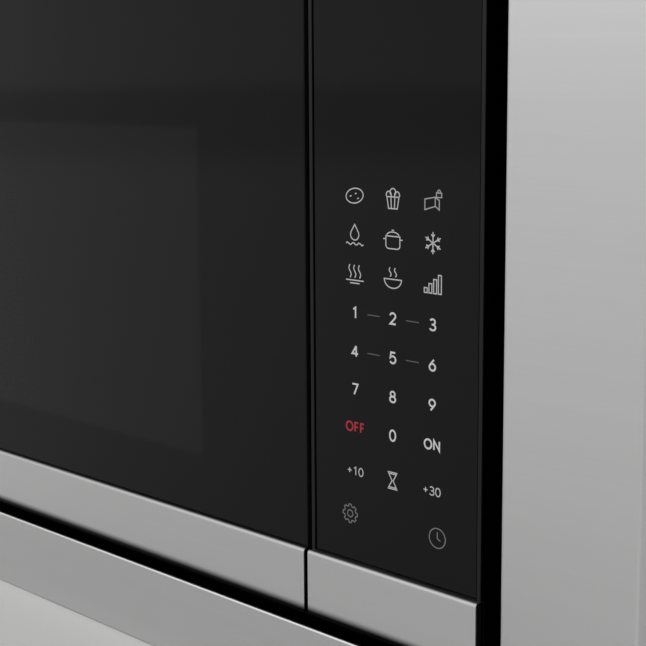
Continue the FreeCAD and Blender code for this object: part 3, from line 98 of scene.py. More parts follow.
class Value:
    """A shader socket that turns Python arithmetic into Math nodes."""

    def __init__(self, graph: "Graph", socket: bpy.types.NodeSocket) -> None:
        """Keep the graph that owns the socket."""
        self.graph = graph
        self.socket = socket

    def __add__(self, other: "Value | float") -> "Value":
        """Return the sum."""
        return self.graph.math("ADD", self, other)

    def __sub__(self, other: "Value | float") -> "Value":
        """Return the difference."""
        return self.graph.math("SUBTRACT", self, other)

    def __rsub__(self, other: float) -> "Value":
        """Return a number less this value."""
        return self.graph.math("SUBTRACT", other, self)

    def __mul__(self, other: "Value | float") -> "Value":
        """Return the product."""
        return self.graph.math("MULTIPLY", self, other)

    __radd__ = __add__
    __rmul__ = __mul__

    def about(self, middle: float, swing: float) -> "Value":
        """Return a number that runs from a swing below a middle to a swing above as this runs from 0 to 1."""
        return self * (2 * swing) + (middle - swing)

    def blend(self, other: "Value", share: float) -> "Value":
        """Return a share of this value and the rest of another."""
        return self * share + other * (1 - share)

    def step(self, low: float, high: float) -> "Value":
        """Return a smooth rise from 0 at low to 1 at high; with high below low it falls instead."""
        sockets = {"Value": self, "From Min": low, "From Max": high}
        return self.graph.node("ShaderNodeMapRange", {"interpolation_type": "SMOOTHSTEP"}, sockets)


Sockets = dict[str, Value | float]


class Graph:
    """The node tree of one material."""

    def __init__(self, name: str) -> None:
        """Start an empty tree in a new material.

        Args:
            name: name of the material.
        """
        self.material = bpy.data.materials.new(name)
        self.material.use_nodes = True
        self.tree = self.material.node_tree
        self.tree.nodes.clear()

    def add(self, kind: str, settings: dict | None = None, sockets: dict | None = None) -> bpy.types.Node:
        """Add a node, set it up and link it.

        Args:
            kind: Blender's name of the node type.
            settings: properties of the node, set before its sockets.
            sockets: numbers, colours or values for its inputs, by name or index.

        Returns:
            The new node.
        """
        made = self.tree.nodes.new(kind)
        for name, setting in (settings or {}).items():
            setattr(made, name, setting)
        for key, content in (sockets or {}).items():
            if isinstance(content, Value):
                self.tree.links.new(content.socket, made.inputs[key])
            else:
                made.inputs[key].default_value = content
        return made

    def node(self, kind: str, settings: dict | None = None, sockets: dict | None = None,
             output: str | int = 0) -> Value:
        """Add a node and return one of its outputs."""
        return Value(self, self.add(kind, settings, sockets).outputs[output])

    def math(self, operation: str, *values: "Value | float") -> Value:
        """Return one Math node's result."""
        return self.node("ShaderNodeMath", {"operation": operation}, dict(enumerate(values)))

    def spot(self) -> Value:
        """Return the place on the object in metres."""
        return self.node("ShaderNodeTexCoord", output="Object")

    def axes(self) -> tuple[Value, Value, Value]:
        """Return the three coordinates of the place on the object."""
        parts = self.add("ShaderNodeSeparateXYZ", sockets={0: self.spot()})
        return tuple(Value(self, socket) for socket in parts.outputs)

    def along(self, axis: Axis) -> Value:
        """Return one coordinate of the place on the object."""
        return self.axes()[axis.value]

    def noise(self, per_metre: float | Sequence[float], detail: float = 2.0) -> Value:
        """Return noise about one half.

        Args:
            per_metre: cycles per metre, along all axes alike or along X, Y and Z.
            detail: how many finer octaves are added.

        Returns:
            The noise as a value.
        """
        cycles = (per_metre,) * 3 if isinstance(per_metre, float) else tuple(per_metre)
        stretched = self.node("ShaderNodeVectorMath", {"operation": "MULTIPLY"}, {0: self.spot(), 1: cycles})
        return self.node("ShaderNodeTexNoise", sockets={"Vector": stretched, "Scale": 1.0, "Detail": detail})

    def cells(self, per_metre: float) -> Value:
        """Return the colour of Voronoi cells of one size."""
        sockets = {"Vector": self.spot(), "Scale": per_metre}
        return self.node("ShaderNodeTexVoronoi", sockets=sockets, output="Color")

    def mix(self, factor: Value, first: "Value | Colour", second: "Value | Colour") -> Value:
        """Return a blend of two colours.

        Args:
            factor: 0 for the first colour and 1 for the second.
            first: the first colour.
            second: the second colour.

        Returns:
            The blend.
        """
        sides = [side if isinstance(side, Value) else (*side, 1.0) for side in (first, second)]
        sockets = {0: factor, MIX_FIRST: sides[0], MIX_SECOND: sides[1]}
        return self.node("ShaderNodeMix", {"data_type": "RGBA"}, sockets, MIX_RESULT)

    def shade(self, colour: Colour, spread: float, factor: Value) -> Value:
        """Return a colour that varies in strength.

        Args:
            colour: its middle.
            spread: the share by which it darkens and lightens.
            factor: 0 for the darkest and 1 for the lightest.

        Returns:
            The varied colour.
        """
        low = tuple(part * (1 - spread) for part in colour)
        high = tuple(part * (1 + spread) for part in colour)
        return self.mix(factor, low, high)

    def bump(self, height: Value, depth: float, strength: float = 1.0) -> Value:
        """Return a normal from a height of so many metres."""
        sockets = {"Height": height, "Distance": depth, "Strength": strength}
        return self.node("ShaderNodeBump", sockets=sockets)

    def surface(self, sockets: Sockets) -> bpy.types.Material:
        """Close the tree with one shader.

        Args:
            sockets: what the shader's sockets hold.

        Returns:
            The finished material.
        """
        shader = self.node("ShaderNodeBsdfPrincipled", sockets=sockets)
        self.add("ShaderNodeOutputMaterial", sockets={"Surface": shader})
        return self.material


def grey(level: float) -> Colour:
    """Return an even grey."""
    return (level, level, level)


class Grain(Enum):
    """Cycles per metre of a brushed grain that runs along one axis."""

    ALONG_X = (5.0, 1500.0, 1500.0)
    ALONG_Z = (1500.0, 1500.0, 5.0)


@dataclass(frozen=True)
class Finish:
    """A named surface; each kind of finish says what its shader's sockets hold."""

    name: str

    def material(self) -> bpy.types.Material:
        """Return the finish as a material."""
        graph = Graph(self.name)
        return graph.surface(self.sockets(graph))

    def sockets(self, graph: Graph) -> Sockets:
        """Return the shader's sockets by name."""
        raise NotImplementedError


@dataclass(frozen=True)
class BrushedSteel(Finish):
    """Stainless sheet with a fine straight grain.

    Painted shade bands are heights between which the colour falls to a share of itself, to dim the highlight
    on a bend or to black its underside;
    an opening is the half width and half height inside which the returned edges of a frame are blacked as
    painted shade.
    """

    grain: Grain
    colour: Colour = (0.63, 0.629, 0.631)
    roughness: float = 0.34
    swing: float = 0.05
    streak: float = 0.05
    fine_share: float = 0.6
    broadening: float = 12.0
    groove: float = 0.004 * MM
    folds: tuple[tuple[float, float, float], ...] = ()
    opening: Point | None = None
    edge_blend: float = 0.3 * MM
    return_start: Point = (-20.0 * MM, -21.2 * MM)
    # Painted shade: the near black that the returns and the bends fall to.
    black: Colour = grey(0.002)

    def sockets(self, graph: Graph) -> Sockets:
        """Return the shader's sockets by name.

        Args:
            graph: the material's nodes.

        Returns:
            Streaked steel, with painted shade on its bends and on the returns that line the opening.
        """
        fine = graph.noise(self.grain.value, detail=3.0)
        broad = graph.noise([part / self.broadening for part in self.grain.value])
        tone = fine.blend(broad, self.fine_share)
        colour = graph.shade(self.colour, self.streak, tone)
        # Painted shade: the returns deep in the opening are blacked, where the gap round the front is in
        # shade.
        if self.opening:
            colour = graph.mix(self.outside(graph), self.black, colour)
        # Painted shade on the bends: between each pair of heights the colour falls to its share, over a
        # highlight or a dark underside.
        for low, high, share in self.folds:
            left = 1 - graph.along(Axis.Z).step(low, high) * (1 - share)
            colour = graph.mix(left, self.black, colour)
        return {
            "Base Color": colour,
            "Metallic": 1.0,
            "Roughness": tone.about(self.roughness, self.swing),
            "Normal": graph.bump(fine, self.groove),
        }

    def outside(self, graph: Graph) -> Value:
        """Return a mask of the returns that line the opening, which are blacked as painted shade.

        Args:
            graph: the material's nodes.

        Returns:
            0 on the returns and 1 elsewhere.
        """
        across, depth, up = graph.axes()
        wide, tall = self.opening
        beyond = graph.math("ABSOLUTE", across).step(wide, wide + self.edge_blend)
        above = graph.math("ABSOLUTE", up).step(tall, tall + self.edge_blend)
        return graph.math("MAXIMUM", graph.math("MAXIMUM", beyond, above), depth.step(*self.return_start))


@dataclass(frozen=True)
class BlackGlass(Finish):
    """Back-painted black glass, with a see-through window painted on as a faint screen, lighter towards the
    left as painted light.
    """

    colour: Colour = (0.0058, 0.0058, 0.0059)
    spread: float = 0.12
    smear: float = 9.0
    roughness: float = 0.04
    haze: float = 0.05
    specular: float = 0.14
    window: tuple[Point, Point] | None = None
    window_colour: Colour = grey(0.0112)
    window_blur: float = 3 * MM
    screen_pitch: float = 1.7 * MM
    hole_edge: Point = (0.2, 0.6)
    lit_share: float = 1.25
    hole_share: float = 0.92

    def sockets(self, graph: Graph) -> Sockets:
        """Return the shader's sockets by name.

        Args:
            graph: the material's nodes.

        Returns:
            Smeared black glass, with the window if there is one.
        """
        smear = graph.noise(self.smear, detail=3.0)
        base = graph.shade(self.colour, self.spread, smear)
        if self.window:
            base = graph.mix(self.window_mask(graph), base, self.screen(graph))
        return {
            "Base Color": base,
            "Roughness": self.roughness + smear * self.haze,
            "Specular IOR Level": self.specular,
        }

    def window_mask(self, graph: Graph) -> Value:
        """Return a mask of the window with soft sides.

        Args:
            graph: the material's nodes.

        Returns:
            1 inside the window and 0 outside.
        """
        across, _, up = graph.axes()
        (left, low), (right, high) = self.window
        blur = self.window_blur
        mask = across.step(left - blur, left + blur) * across.step(right + blur, right - blur)
        return mask * up.step(low - blur, low + blur) * up.step(high + blur, high - blur)

    def screen(self, graph: Graph) -> Value:
        """Return the colour of the punched screen behind the window.

        Args:
            graph: the material's nodes.

        Returns:
            The colour, brighter towards the left as painted light.
        """
        across, _, up = graph.axes()
        (left, _), (right, _) = self.window
        turn = math.pi / self.screen_pitch
        holes = graph.math("SINE", across * turn) * graph.math("SINE", up * turn)
        # Painted light: the screen is drawn lighter towards the left, as if lit from that side.
        painted_light_ramp = across.step(right, left)
        brighter = tuple(part * self.lit_share for part in self.window_colour)
        lit = graph.mix(painted_light_ramp, self.window_colour, brighter)
        darker = tuple(part * self.hole_share for part in self.window_colour)
        return graph.mix(holes.step(*self.hole_edge), lit, darker)


@dataclass(frozen=True)
class Moulding(Finish):
    """Moulded plastic, rubber or foam with a fine grain, with painted shade near black behind its face if it
    has one.
    """

    colour: Colour
    roughness: float = 0.45
    grain: float = 2500.0
    depth: float = 0.03 * MM
    specular: float = 0.3
    # Painted shade: behind the face, along Y, the colour falls to near black, for the shade in the gaps round
    # the front.
    face: Point | None = None
    matt: Colour = grey(0.0004)
    matt_drop: float = 0.25
    mottle: float = 30.0
    spread: float = 0.12
    swing: float = 0.06
    relief: float = 0.5

    def sockets(self, graph: Graph) -> Sockets:
        """Return the shader's sockets by name.

        Args:
            graph: the material's nodes.

        Returns:
            Mottled plastic with its grain.
        """
        fine = graph.noise(self.grain)
        colour = graph.shade(self.colour, self.spread, graph.noise(self.mottle))
        roughness = fine.about(self.roughness, self.swing)
        # Painted shade: behind the face the colour is mixed to near black.
        if self.face:
            behind = graph.along(Axis.Y).step(*self.face)
            colour = graph.mix(behind, colour, self.matt)
            roughness = roughness - behind * self.matt_drop
        return {
            "Base Color": colour,
            "Roughness": roughness,
            "Specular IOR Level": self.specular,
            "Normal": graph.bump(fine, self.depth, self.relief),
        }


@dataclass(frozen=True)
class Paint(Finish):
    """Baked paint or enamel with a slight orange peel and speckle."""

    colour: Colour
    roughness: float = 0.4
    spread: float = 0.12
    specular: float = 0.4
    peel: float = 700.0
    peel_depth: float = 0.02 * MM
    relief: float = 0.6
    speckle: float = 2200.0
    speckle_share: float = 0.5
    mottle: float = 14.0
    swing: float = 0.05

    def sockets(self, graph: Graph) -> Sockets:
        """Return the shader's sockets by name.

        Args:
            graph: the material's nodes.

        Returns:
            Speckled paint with its peel.
        """
        peel = graph.noise(self.peel, detail=1.0)
        speckle = graph.noise(self.speckle, detail=1.0)
        tone = speckle.blend(graph.noise(self.mottle, detail=3.0), self.speckle_share)
        return {
            "Base Color": graph.shade(self.colour, self.spread, tone),
            "Roughness": peel.about(self.roughness, self.swing),
            "Specular IOR Level": self.specular,
            "Normal": graph.bump(peel, self.peel_depth, self.relief),
        }


@dataclass(frozen=True)
class Plating(Finish):
    """Zinc-plated or galvanised sheet with a crystalline bloom."""

    colour: Colour = (0.46, 0.47, 0.48)
    roughness: float = 0.42
    swing: float = 0.08
    spangle: float = 90.0
    spangle_share: float = 0.6
    scuff: float = 60.0
    contrast: float = 0.12

    def sockets(self, graph: Graph) -> Sockets:
        """Return the shader's sockets by name.

        Args:
            graph: the material's nodes.

        Returns:
            Scuffed zinc with its crystals.
        """
        crystal = graph.node("ShaderNodeSeparateColor", sockets={0: graph.cells(self.spangle)})
        tone = crystal.blend(graph.noise(self.scuff, detail=4.0), self.spangle_share)
        return {
            "Base Color": graph.shade(self.colour, self.contrast, tone),
            "Metallic": 1.0,
            "Roughness": tone.about(self.roughness, self.swing),
        }


@dataclass(frozen=True)
class Stripes(Finish):
    """Metal in fine even layers: laminations or turns of wire."""

    colour: Colour
    axis: Axis
    pitch: float
    metallic: float
    roughness: float
    swing: float = 0.05
    contrast: float = 0.35
    scuff: float = 80.0
    layer_share: float = 0.8
    depth_share: float = 0.1
    relief: float = 0.5

    def sockets(self, graph: Graph) -> Sockets:
        """Return the shader's sockets by name.

        Args:
            graph: the material's nodes.

        Returns:
            Scuffed metal with its layers.
        """
        layers = graph.math("SINE", graph.along(self.axis) * (2 * math.pi / self.pitch))
        scuff = graph.noise(self.scuff, detail=3.0)
        tone = layers.step(-1.0, 1.0).blend(scuff, self.layer_share)
        return {
            "Base Color": graph.shade(self.colour, self.contrast, tone),
            "Metallic": self.metallic,
            "Roughness": scuff.about(self.roughness, self.swing),
            "Normal": graph.bump(layers, self.pitch * self.depth_share, self.relief),
        }


@dataclass(frozen=True)
class ClearGlass(Finish):
    """Clear pressed or blown glass."""

    colour: Colour = (0.93, 0.97, 0.95)
    spread: float = 0.02
    roughness: float = 0.03
    haze: float = 0.04
    refraction: float = 1.5
    ripple: float = 25.0
    wave: float = 0.3 * MM
    relief: float = 0.4

    def sockets(self, graph: Graph) -> Sockets:
        """Return the shader's sockets by name.

        Args:
            graph: the material's nodes.

        Returns:
            Clear glass with its ripples.
        """
        ripple = graph.noise(self.ripple, detail=1.0)
        return {
            "Base Color": graph.shade(self.colour, self.spread, ripple),
            "Roughness": self.roughness + ripple * self.haze,
            "Transmission Weight": 1.0,
            "IOR": self.refraction,
            "Normal": graph.bump(ripple, self.wave, self.relief),
        }


@dataclass(frozen=True)
class CircuitBoard(Finish):
    """Green board with paler copper tracks under the resist."""

    resist: Colour = (0.012, 0.09, 0.035)
    track: Colour = (0.03, 0.20, 0.08)
    wander: float = 120.0
    lane_turn: float = 1600.0
    lane_wander: float = 6 * MM
    lane_edge: Point = (0.4, 0.6)
    rung_turn: float = 1100.0
    rung_wander: float = 9 * MM
    rung_edge: Point = (-0.3, 0.1)
    roughness: float = 0.42
    track_gloss: float = 0.1
    track_height: float = 0.04 * MM
    relief: float = 0.5

    def sockets(self, graph: Graph) -> Sockets:
        """Return the shader's sockets by name.

        Args:
            graph: the material's nodes.

        Returns:
            The board with its raised tracks.
        """
        across, _, up = graph.axes()
        wander = graph.noise(self.wander, detail=0.0)
        lanes = graph.math("SINE", (across + wander * self.lane_wander) * self.lane_turn)
        rungs = graph.math("SINE", (up + wander * self.rung_wander) * self.rung_turn)
        tracks = lanes.step(*self.lane_edge) * rungs.step(*self.rung_edge)
        return {
            "Base Color": graph.mix(tracks, self.resist, self.track),
            "Roughness": self.roughness - tracks * self.track_gloss,
            "Normal": graph.bump(tracks, self.track_height, self.relief),
        }


@dataclass(frozen=True)
class Ink(Finish):
    """Screen-printed ink, a little uneven as print is."""

    colour: Colour
    spread: float = 0.06
    wear: float = 900.0
    roughness: float = 0.5
    haze: float = 0.1
    specular: float = 0.15

    def sockets(self, graph: Graph) -> Sockets:
        """Return the shader's sockets by name.

        Args:
            graph: the material's nodes.

        Returns:
            Worn ink.
        """
        wear = graph.noise(self.wear)
        return {
            "Base Color": graph.shade(self.colour, self.spread, wear),
            "Roughness": self.roughness + wear * self.haze,
            "Specular IOR Level": self.specular,
        }


@dataclass(frozen=True)
class Paper(Finish):
    """Matt pale paper of the floor."""

    colour: Colour = (0.66, 0.66, 0.655)
    spread: float = 0.02
    mottle: float = 3.0
    roughness: float = 0.9
    specular: float = 0.1

    def sockets(self, graph: Graph) -> Sockets:
        """Return the shader's sockets by name."""
        colour = graph.shade(self.colour, self.spread, graph.noise(self.mottle))
        return {"Base Color": colour, "Roughness": self.roughness, "Specular IOR Level": self.specular}


def arc(centre: Point, radii: Point, start: float, end: float, steps: int = 12) -> list[Point]:
    """Return points along part of an ellipse.

    Args:
        centre: its middle.
        radii: half its width and half its height.
        start: first angle in degrees.
        end: last angle in degrees.
        steps: number of pieces.

    Returns:
        The points, with both ends.
    """
    (x, z), (wide, tall) = centre, radii
    angles = [math.radians(start + (end - start) * index / steps) for index in range(steps + 1)]
    return [(x + wide * math.cos(angle), z + tall * math.sin(angle)) for angle in angles]


def oval(centre: Point, radii: Point, sides: int = 24) -> Line:
    """Return a whole ellipse of so many sides."""
    return arc(centre, radii, 0, 360 - 360 / sides, sides - 1), CLOSED


def rounded(width: float, height: float, radius: float, steps: int = 6) -> list[Point]:
    """Return a rectangle with round corners about its middle.

    Args:
        width: its full width.
        height: its full height.
        radius: radius of its corners.
        steps: number of pieces in a corner.

    Returns:
        The points once round.
    """
    across = width / 2 - radius
    up = height / 2 - radius
    outline: list[Point] = []
    for x, z, start in ((across, up, 0), (-across, up, 90), (-across, -up, 180), (across, -up, 270)):
        outline += arc((x, z), (radius, radius), start, start + 90, steps)
    return outline


def wave(foot: Point, height: float, swing: float, steps: int = 10) -> Line:
    """Return a rising wavy line.

    Args:
        foot: where it starts.
        height: how far it rises.
        swing: how far it swings to each side.
        steps: number of pieces.

    Returns:
        The open line.
    """
    shares = [index / steps for index in range(steps + 1)]
    path = [(foot[0] + swing * math.sin(2 * math.pi * share), foot[1] + height * share) for share in shares]
    return path, OPEN


def ice_arm(turn: float) -> list[Line]:
    """Return one arm of an ice crystal with its two twigs.

    Args:
        turn: direction of the arm in degrees.

    Returns:
        The arm and the twigs.
    """
    angle = math.radians(turn)
    run = Vector((math.cos(angle), math.sin(angle)))
    lines: list[Line] = [([tuple(run * 0.2), tuple(run * 5.0)], OPEN)]
    for lean in (-0.7, 0.7):
        twig = Vector((math.cos(angle + lean), math.sin(angle + lean)))
        lines.append(([tuple(run * 2.8), tuple(run * 2.8 + twig * 1.5)], OPEN))
    return lines


def gear_rim(teeth: int = 8) -> list[Point]:
    """Return the outline of a toothed wheel.

    Args:
        teeth: number of teeth.

    Returns:
        The points once round.
    """
    rim: list[Point] = []
    for tooth in range(teeth):
        for turn, radius in ((-15, 4.5), (-9, 5.7), (9, 5.7), (15, 4.5)):
            angle = math.radians(360 / teeth * tooth + turn)
            rim.append((radius * math.cos(angle), radius * math.sin(angle)))
    return rim


class Sign(Enum):
    """The little drawings on the keys, as lines in millimetres about their middle."""

    TUBER = [
        ([(x * 0.95 - z * 0.2, z + x * 0.18) for x, z in oval((0, 0), (5.6, 3.4))[0]], CLOSED),
        *(([(x, z), (x + 1.1, z + 0.3)], OPEN) for x, z in ((-3.0, -0.4), (0.2, 0.9), (1.6, -1.3))),
    ]
    TUB = [
        ([(-3.6, 0.8), (-2.6, -4.6), (2.6, -4.6), (3.6, 0.8)], CLOSED),
        *(([(side * 1.2, 0.8), (side * 0.9, -4.6)], OPEN) for side in (-1, 1)),
        *((arc((middle, 1.6), (1.5, 1.7), 200, -20), OPEN) for middle in (-2.5, 2.5)),
        (arc((0, 2.9), (1.7, 1.8), 215, -35), OPEN),
    ]
    DOOR_LOCK = [
        ([(-5.8, 1.2), (1.4, 2.6), (1.4, -2.4), (-5.8, -4.6)], CLOSED),
        ([(1.4, 2.6), (4.2, 1.0), (4.2, -4.2), (1.4, -2.4)], OPEN),
        ([(2.2, 2.6), (5.8, 2.6), (5.8, 5.0), (2.2, 5.0)], CLOSED),
        (arc((4.0, 5.0), (1.1, 1.6), 180, 0), OPEN),
    ]
    DROP = [
        ([(0, 5.0), *arc((0, 0.2), (2.6, 2.6), 30, -210, 18)], CLOSED),
        ([(x - 5.5, -4.2 + 0.6 * math.sin(x * 1.7)) for x in range(12)], OPEN),
    ]
    POT = [
        ([(-4.2, 1.2), *arc((-2.6, -3.0), (1.6, 1.6), 180, 270, 4),
          *arc((2.6, -3.0), (1.6, 1.6), 270, 360, 4), (4.2, 1.2)], CLOSED),
        *(([(side * 4.2, -0.2), (side * 5.8, -0.2)], OPEN) for side in (-1, 1)),
        (arc((0, 1.2), (3.8, 2.0), 165, 15), OPEN),
        ([(-0.7, 4.0), (0.7, 4.0)], OPEN),
    ]
    FLAKE = [line for turn in range(30, 390, 60) for line in ice_arm(turn)]
    STEAM = [
        *(wave((foot, -1.8), 6.2, 0.7) for foot in (-3.0, 0.0, 3.0)),
        ([(-5.6, -3.0), (5.6, -3.0)], OPEN),
        ([(-3.0, -4.4), (3.0, -4.4)], OPEN),
    ]
    BOWL = [
        (arc((0, -0.2), (5.2, 4.2), 180, 360), CLOSED),
        *(wave((foot, 1.0), 4.2, 0.6) for foot in (-1.6, 1.6)),
    ]
    BARS = [
        ([(left, -4.2), (left + 1.7, -4.2), (left + 1.7, top), (left, top)], CLOSED)
        for left, top in ((-4.9 + 2.7 * bar, -2.0 + 2.1 * bar) for bar in range(4))
    ]
    HOURGLASS = [
        ([(-2.8, 4.0), (2.8, 4.0), (0.4, 0.0), (2.8, -4.0), (-2.8, -4.0), (-0.4, 0.0)], CLOSED),
        *(([(-3.6, end * 4.9), (3.6, end * 4.9)], OPEN) for end in (1, -1)),
    ]
    GEAR = [(gear_rim(), CLOSED), oval((0, 0), (2.1, 2.1), 18)]
    CLOCK = [oval((0, 0), (5.7, 5.7), 36), ([(0, 3.6), (0, 0), (2.2, -1.4)], OPEN)]


SIX: list[Line] = [
    ([(0.17, 0.5), *arc((0, -0.19), (0.33, 0.31), 145, 180, 4)], OPEN),
    oval((0, -0.19), (0.33, 0.31)),
]

# Figures and capitals as lines about their middle, one unit tall.
FIGURES: dict[str, list[Line]] = {
    "0": [oval((0, 0), (0.34, 0.5))],
    "1": [([(-0.19, 0.32), (0.08, 0.5), (0.08, -0.5)], OPEN)],
    "2": [([*arc((0, 0.22), (0.32, 0.28), 170, -38, 14), (-0.29, -0.5), (0.35, -0.5)], OPEN)],
    "3": [([*arc((0, 0.26), (0.28, 0.24), 155, -90, 13), (-0.10, 0.02)], OPEN),
          (arc((0, -0.24), (0.33, 0.26), 90, -158, 14), OPEN)],
    "4": [([(0.38, -0.24), (-0.34, -0.24), (0.15, 0.5)], OPEN), ([(0.15, 0.5), (0.15, -0.5)], OPEN)],
    "5": [([(0.29, 0.5), (-0.21, 0.5), *arc((0, -0.17), (0.34, 0.33), 142, -152, 16)], OPEN)],
    "6": SIX,
    "7": [([(-0.34, 0.5), (0.34, 0.5), (-0.11, -0.5)], OPEN)],
    "8": [oval((0, 0.26), (0.26, 0.24), 20), oval((0, -0.23), (0.33, 0.27), 20)],
    "9": [([(-x, -z) for x, z in path], closed) for path, closed in SIX],
    "O": [oval((0, 0), (0.47, 0.5))],
    "N": [([(-0.36, -0.5), (-0.36, 0.5), (0.36, -0.5), (0.36, 0.5)], OPEN)],
    "F": [([(0.24, 0.5), (-0.22, 0.5), (-0.22, -0.5)], OPEN), ([(-0.22, 0.02), (0.18, 0.02)], OPEN)],
    "+": [([(-0.30, 0), (0.30, 0)], OPEN), ([(0, -0.30), (0, 0.30)], OPEN)],
}

# Room that a mark takes along the line, as a share of its height.
LETTER_SHARES = {"O": 1.24, "N": 1.06, "F": 0.82}
FIGURE_SHARE = 0.92


def band(low: int, high: int, size: int) -> list[Face]:
    """Return the faces between two outlines of one size, which are given by their first points."""
    turns = [(turn, (turn + 1) % size) for turn in range(size)]
    return [(low + here, low + after, high + after, high + here) for here, after in turns]


def square_to(axis: Vector) -> tuple[Vector, Vector]:
    """Return two unit directions that stand square on an axis and on each other."""
    side = axis.orthogonal().normalized()
    return side, axis.cross(side)


def hoop(middle: Vector, axis: Vector, radius: float, sides: int) -> list[Vector]:
    """Return points of a circle.

    Args:
        middle: its middle.
        axis: unit direction that it is square to.
        radius: its radius.
        sides: number of points.

    Returns:
        The points once round.
    """
    side, other = square_to(axis)
    turns = [2 * math.pi * index / sides for index in range(sides)]
    return [middle + (side * math.cos(turn) + other * math.sin(turn)) * radius for turn in turns]


class Stock:
    """Vertices and faces gathered for one mesh piece."""

    SHARP_ANGLE = math.radians(35)
    MITRE_LIMIT = 0.35
    BEAD_SHARES = ((-0.5, -0.05), (-0.5, 0.0), (-0.36, 0.5), (-0.15, 0.95),
                   (0.15, 0.95), (0.36, 0.5), (0.5, 0.0), (0.5, -0.05))
    HOLE_SIDES = 8
    SCREW_SIDES = 24
    HEAD_SHARES = ((1.0, 0.0), (1.0, 0.45), (0.94, 0.72), (0.82, 0.92), (0.66, 1.0))
    RECESS_ARM_SHARE = 0.5
    RECESS_HALF_SHARE = 0.1
    RECESS_FLOOR_SHARE = 0.45

    def __init__(self) -> None:
        """Start with nothing."""
        self.points: list[Vector] = []
        self.faces: list[Face] = []

    def add(self, points: Iterable[Vector], faces: Iterable[Face]) -> None:
        """Add a group of points and faces.

        Args:
            points: the new points.
            faces: faces that index them from zero.
        """
        start = len(self.points)
        self.points.extend(points)
        self.faces.extend(tuple(start + index for index in face) for face in faces)

    def loft(self, sections: Sequence[Sequence[Vector]], closed: bool = False) -> None:
        """Add a skin through outlines of one count, capped at both ends unless it runs round.

        Args:
            sections: the outlines along the way.
            closed: whether the last outline joins the first.
        """
        count = len(sections)
        size = len(sections[0])
        points = [point for section in sections for point in section]
        faces: list[Face] = []
        for index in range(count if closed else count - 1):
            faces += band(index * size, (index + 1) % count * size, size)
        if not closed:
            faces.append(tuple(range(size)))
            faces.append(tuple(range(len(points) - size, len(points))))
        self.add(points, faces)

    def ribbon(self, line: Line, width: float, face: float, thick: float) -> None:
        """Add a flat line of even width that stands on a plane facing -Y.

        Args:
            line: its corners in X and Z, and whether the last joins the first.
            width: width of the line.
            face: Y of the plane that it lies on.
            thick: how far it stands out.
        """
        path, closed = line
        count = len(path)
        sections = []
        for index in range(count):
            here = Vector(path[index])
            back = Vector(path[index - 1]) if closed or index else here
            on = Vector(path[(index + 1) % count]) if closed or index + 1 < count else here
            into = (here - back).normalized() if here != back else (on - here).normalized()
            out = (on - here).normalized() if here != on else into
            mitre = (into + out).normalized()
            reach = width / 2 / max(self.MITRE_LIMIT, mitre.dot(into))
            across = Vector((-mitre.y, mitre.x)) * reach
            left = here + across
            right = here - across
            corners = ((left, face), (right, face), (right, face - thick), (left, face - thick))
            sections.append([Vector((spot.x, depth, spot.y)) for spot, depth in corners])
        self.loft(sections, closed)

    def bead(self, path: Sequence[Vector], normal: Vector, width: float, height: float) -> None:
        """Add a rounded rib along a closed path on a sheet.

        Args:
            path: points on the sheet.
            normal: unit direction out of the sheet.
            width: width of the rib at its foot.
            height: how far it stands out.
        """
        rise = normal * height
        sections = []
        for index, here in enumerate(path):
            run = (path[(index + 1) % len(path)] - path[index - 1]).normalized()
            side = run.cross(normal) * width
            sections.append([here + side * across + rise * up for across, up in self.BEAD_SHARES])
        self.loft(sections, closed=True)

    def punched_sheet(self, corner: Vector, across: Vector, up: Vector, holes: tuple[int, int], pitch: float,
                      radius: float, thick: float) -> None:
        """Add a flat sheet with a grid of eight-sided holes.

        Args:
            corner: lowest corner of its front.
            across: unit direction along a row.
            up: unit direction from row to row.
            holes: how many holes in a row, and how many rows.
            pitch: distance between holes.
            radius: radius of a hole.
            thick: how far the sheet reaches behind its front.
        """
        columns, rows = holes
        back = across.cross(up) * -thick
        spots = [(column, row) for row in range(rows + 1) for column in range(columns + 1)]
        grid = [across * (pitch * column) + up * (pitch * row) for column, row in spots]
        sides = self.HOLE_SIDES
        turns = [math.radians(360 / sides * (index + 0.5)) for index in range(sides)]
        ring = [across * (radius * math.cos(turn)) + up * (radius * math.sin(turn)) for turn in turns]
        points = [corner + spot for spot in grid]
        points += [point + back for point in points]
        behind = len(grid)
        faces: list[Face] = []
        for row in range(rows):
            for column in range(columns):
                low = row * (columns + 1) + column
                corners = (low + columns + 2, low + columns + 1, low, low + 1)
                middle = corner + grid[low] + (across + up) * (pitch / 2)
                first = len(points)
                points += [middle + spoke for spoke in ring]
                points += [middle + spoke + back for spoke in ring]
                for side, (here, after) in enumerate(zip(corners, corners[1:] + corners[:1])):
                    a, b, c = (first + (2 * side + step) % sides for step in (0, 1, 2))
                    faces += [(here, b, a), (here, after, c, b)]
                    faces.append((here + behind, a + sides, b + sides))
                    faces.append((here + behind, b + sides, c + sides, after + behind))
                faces += band(first, first + sides, sides)
        edges = (
            range(columns + 1),
            range(columns, behind, columns + 1),
            range(behind - 1, behind - columns - 2, -1),
            range(behind - columns - 1, -1, -columns - 1),
        )
        for edge in edges:
            for here, after in zip(edge, edge[1:]):
                faces.append((here, here + behind, after + behind, after))
        self.add(points, faces)

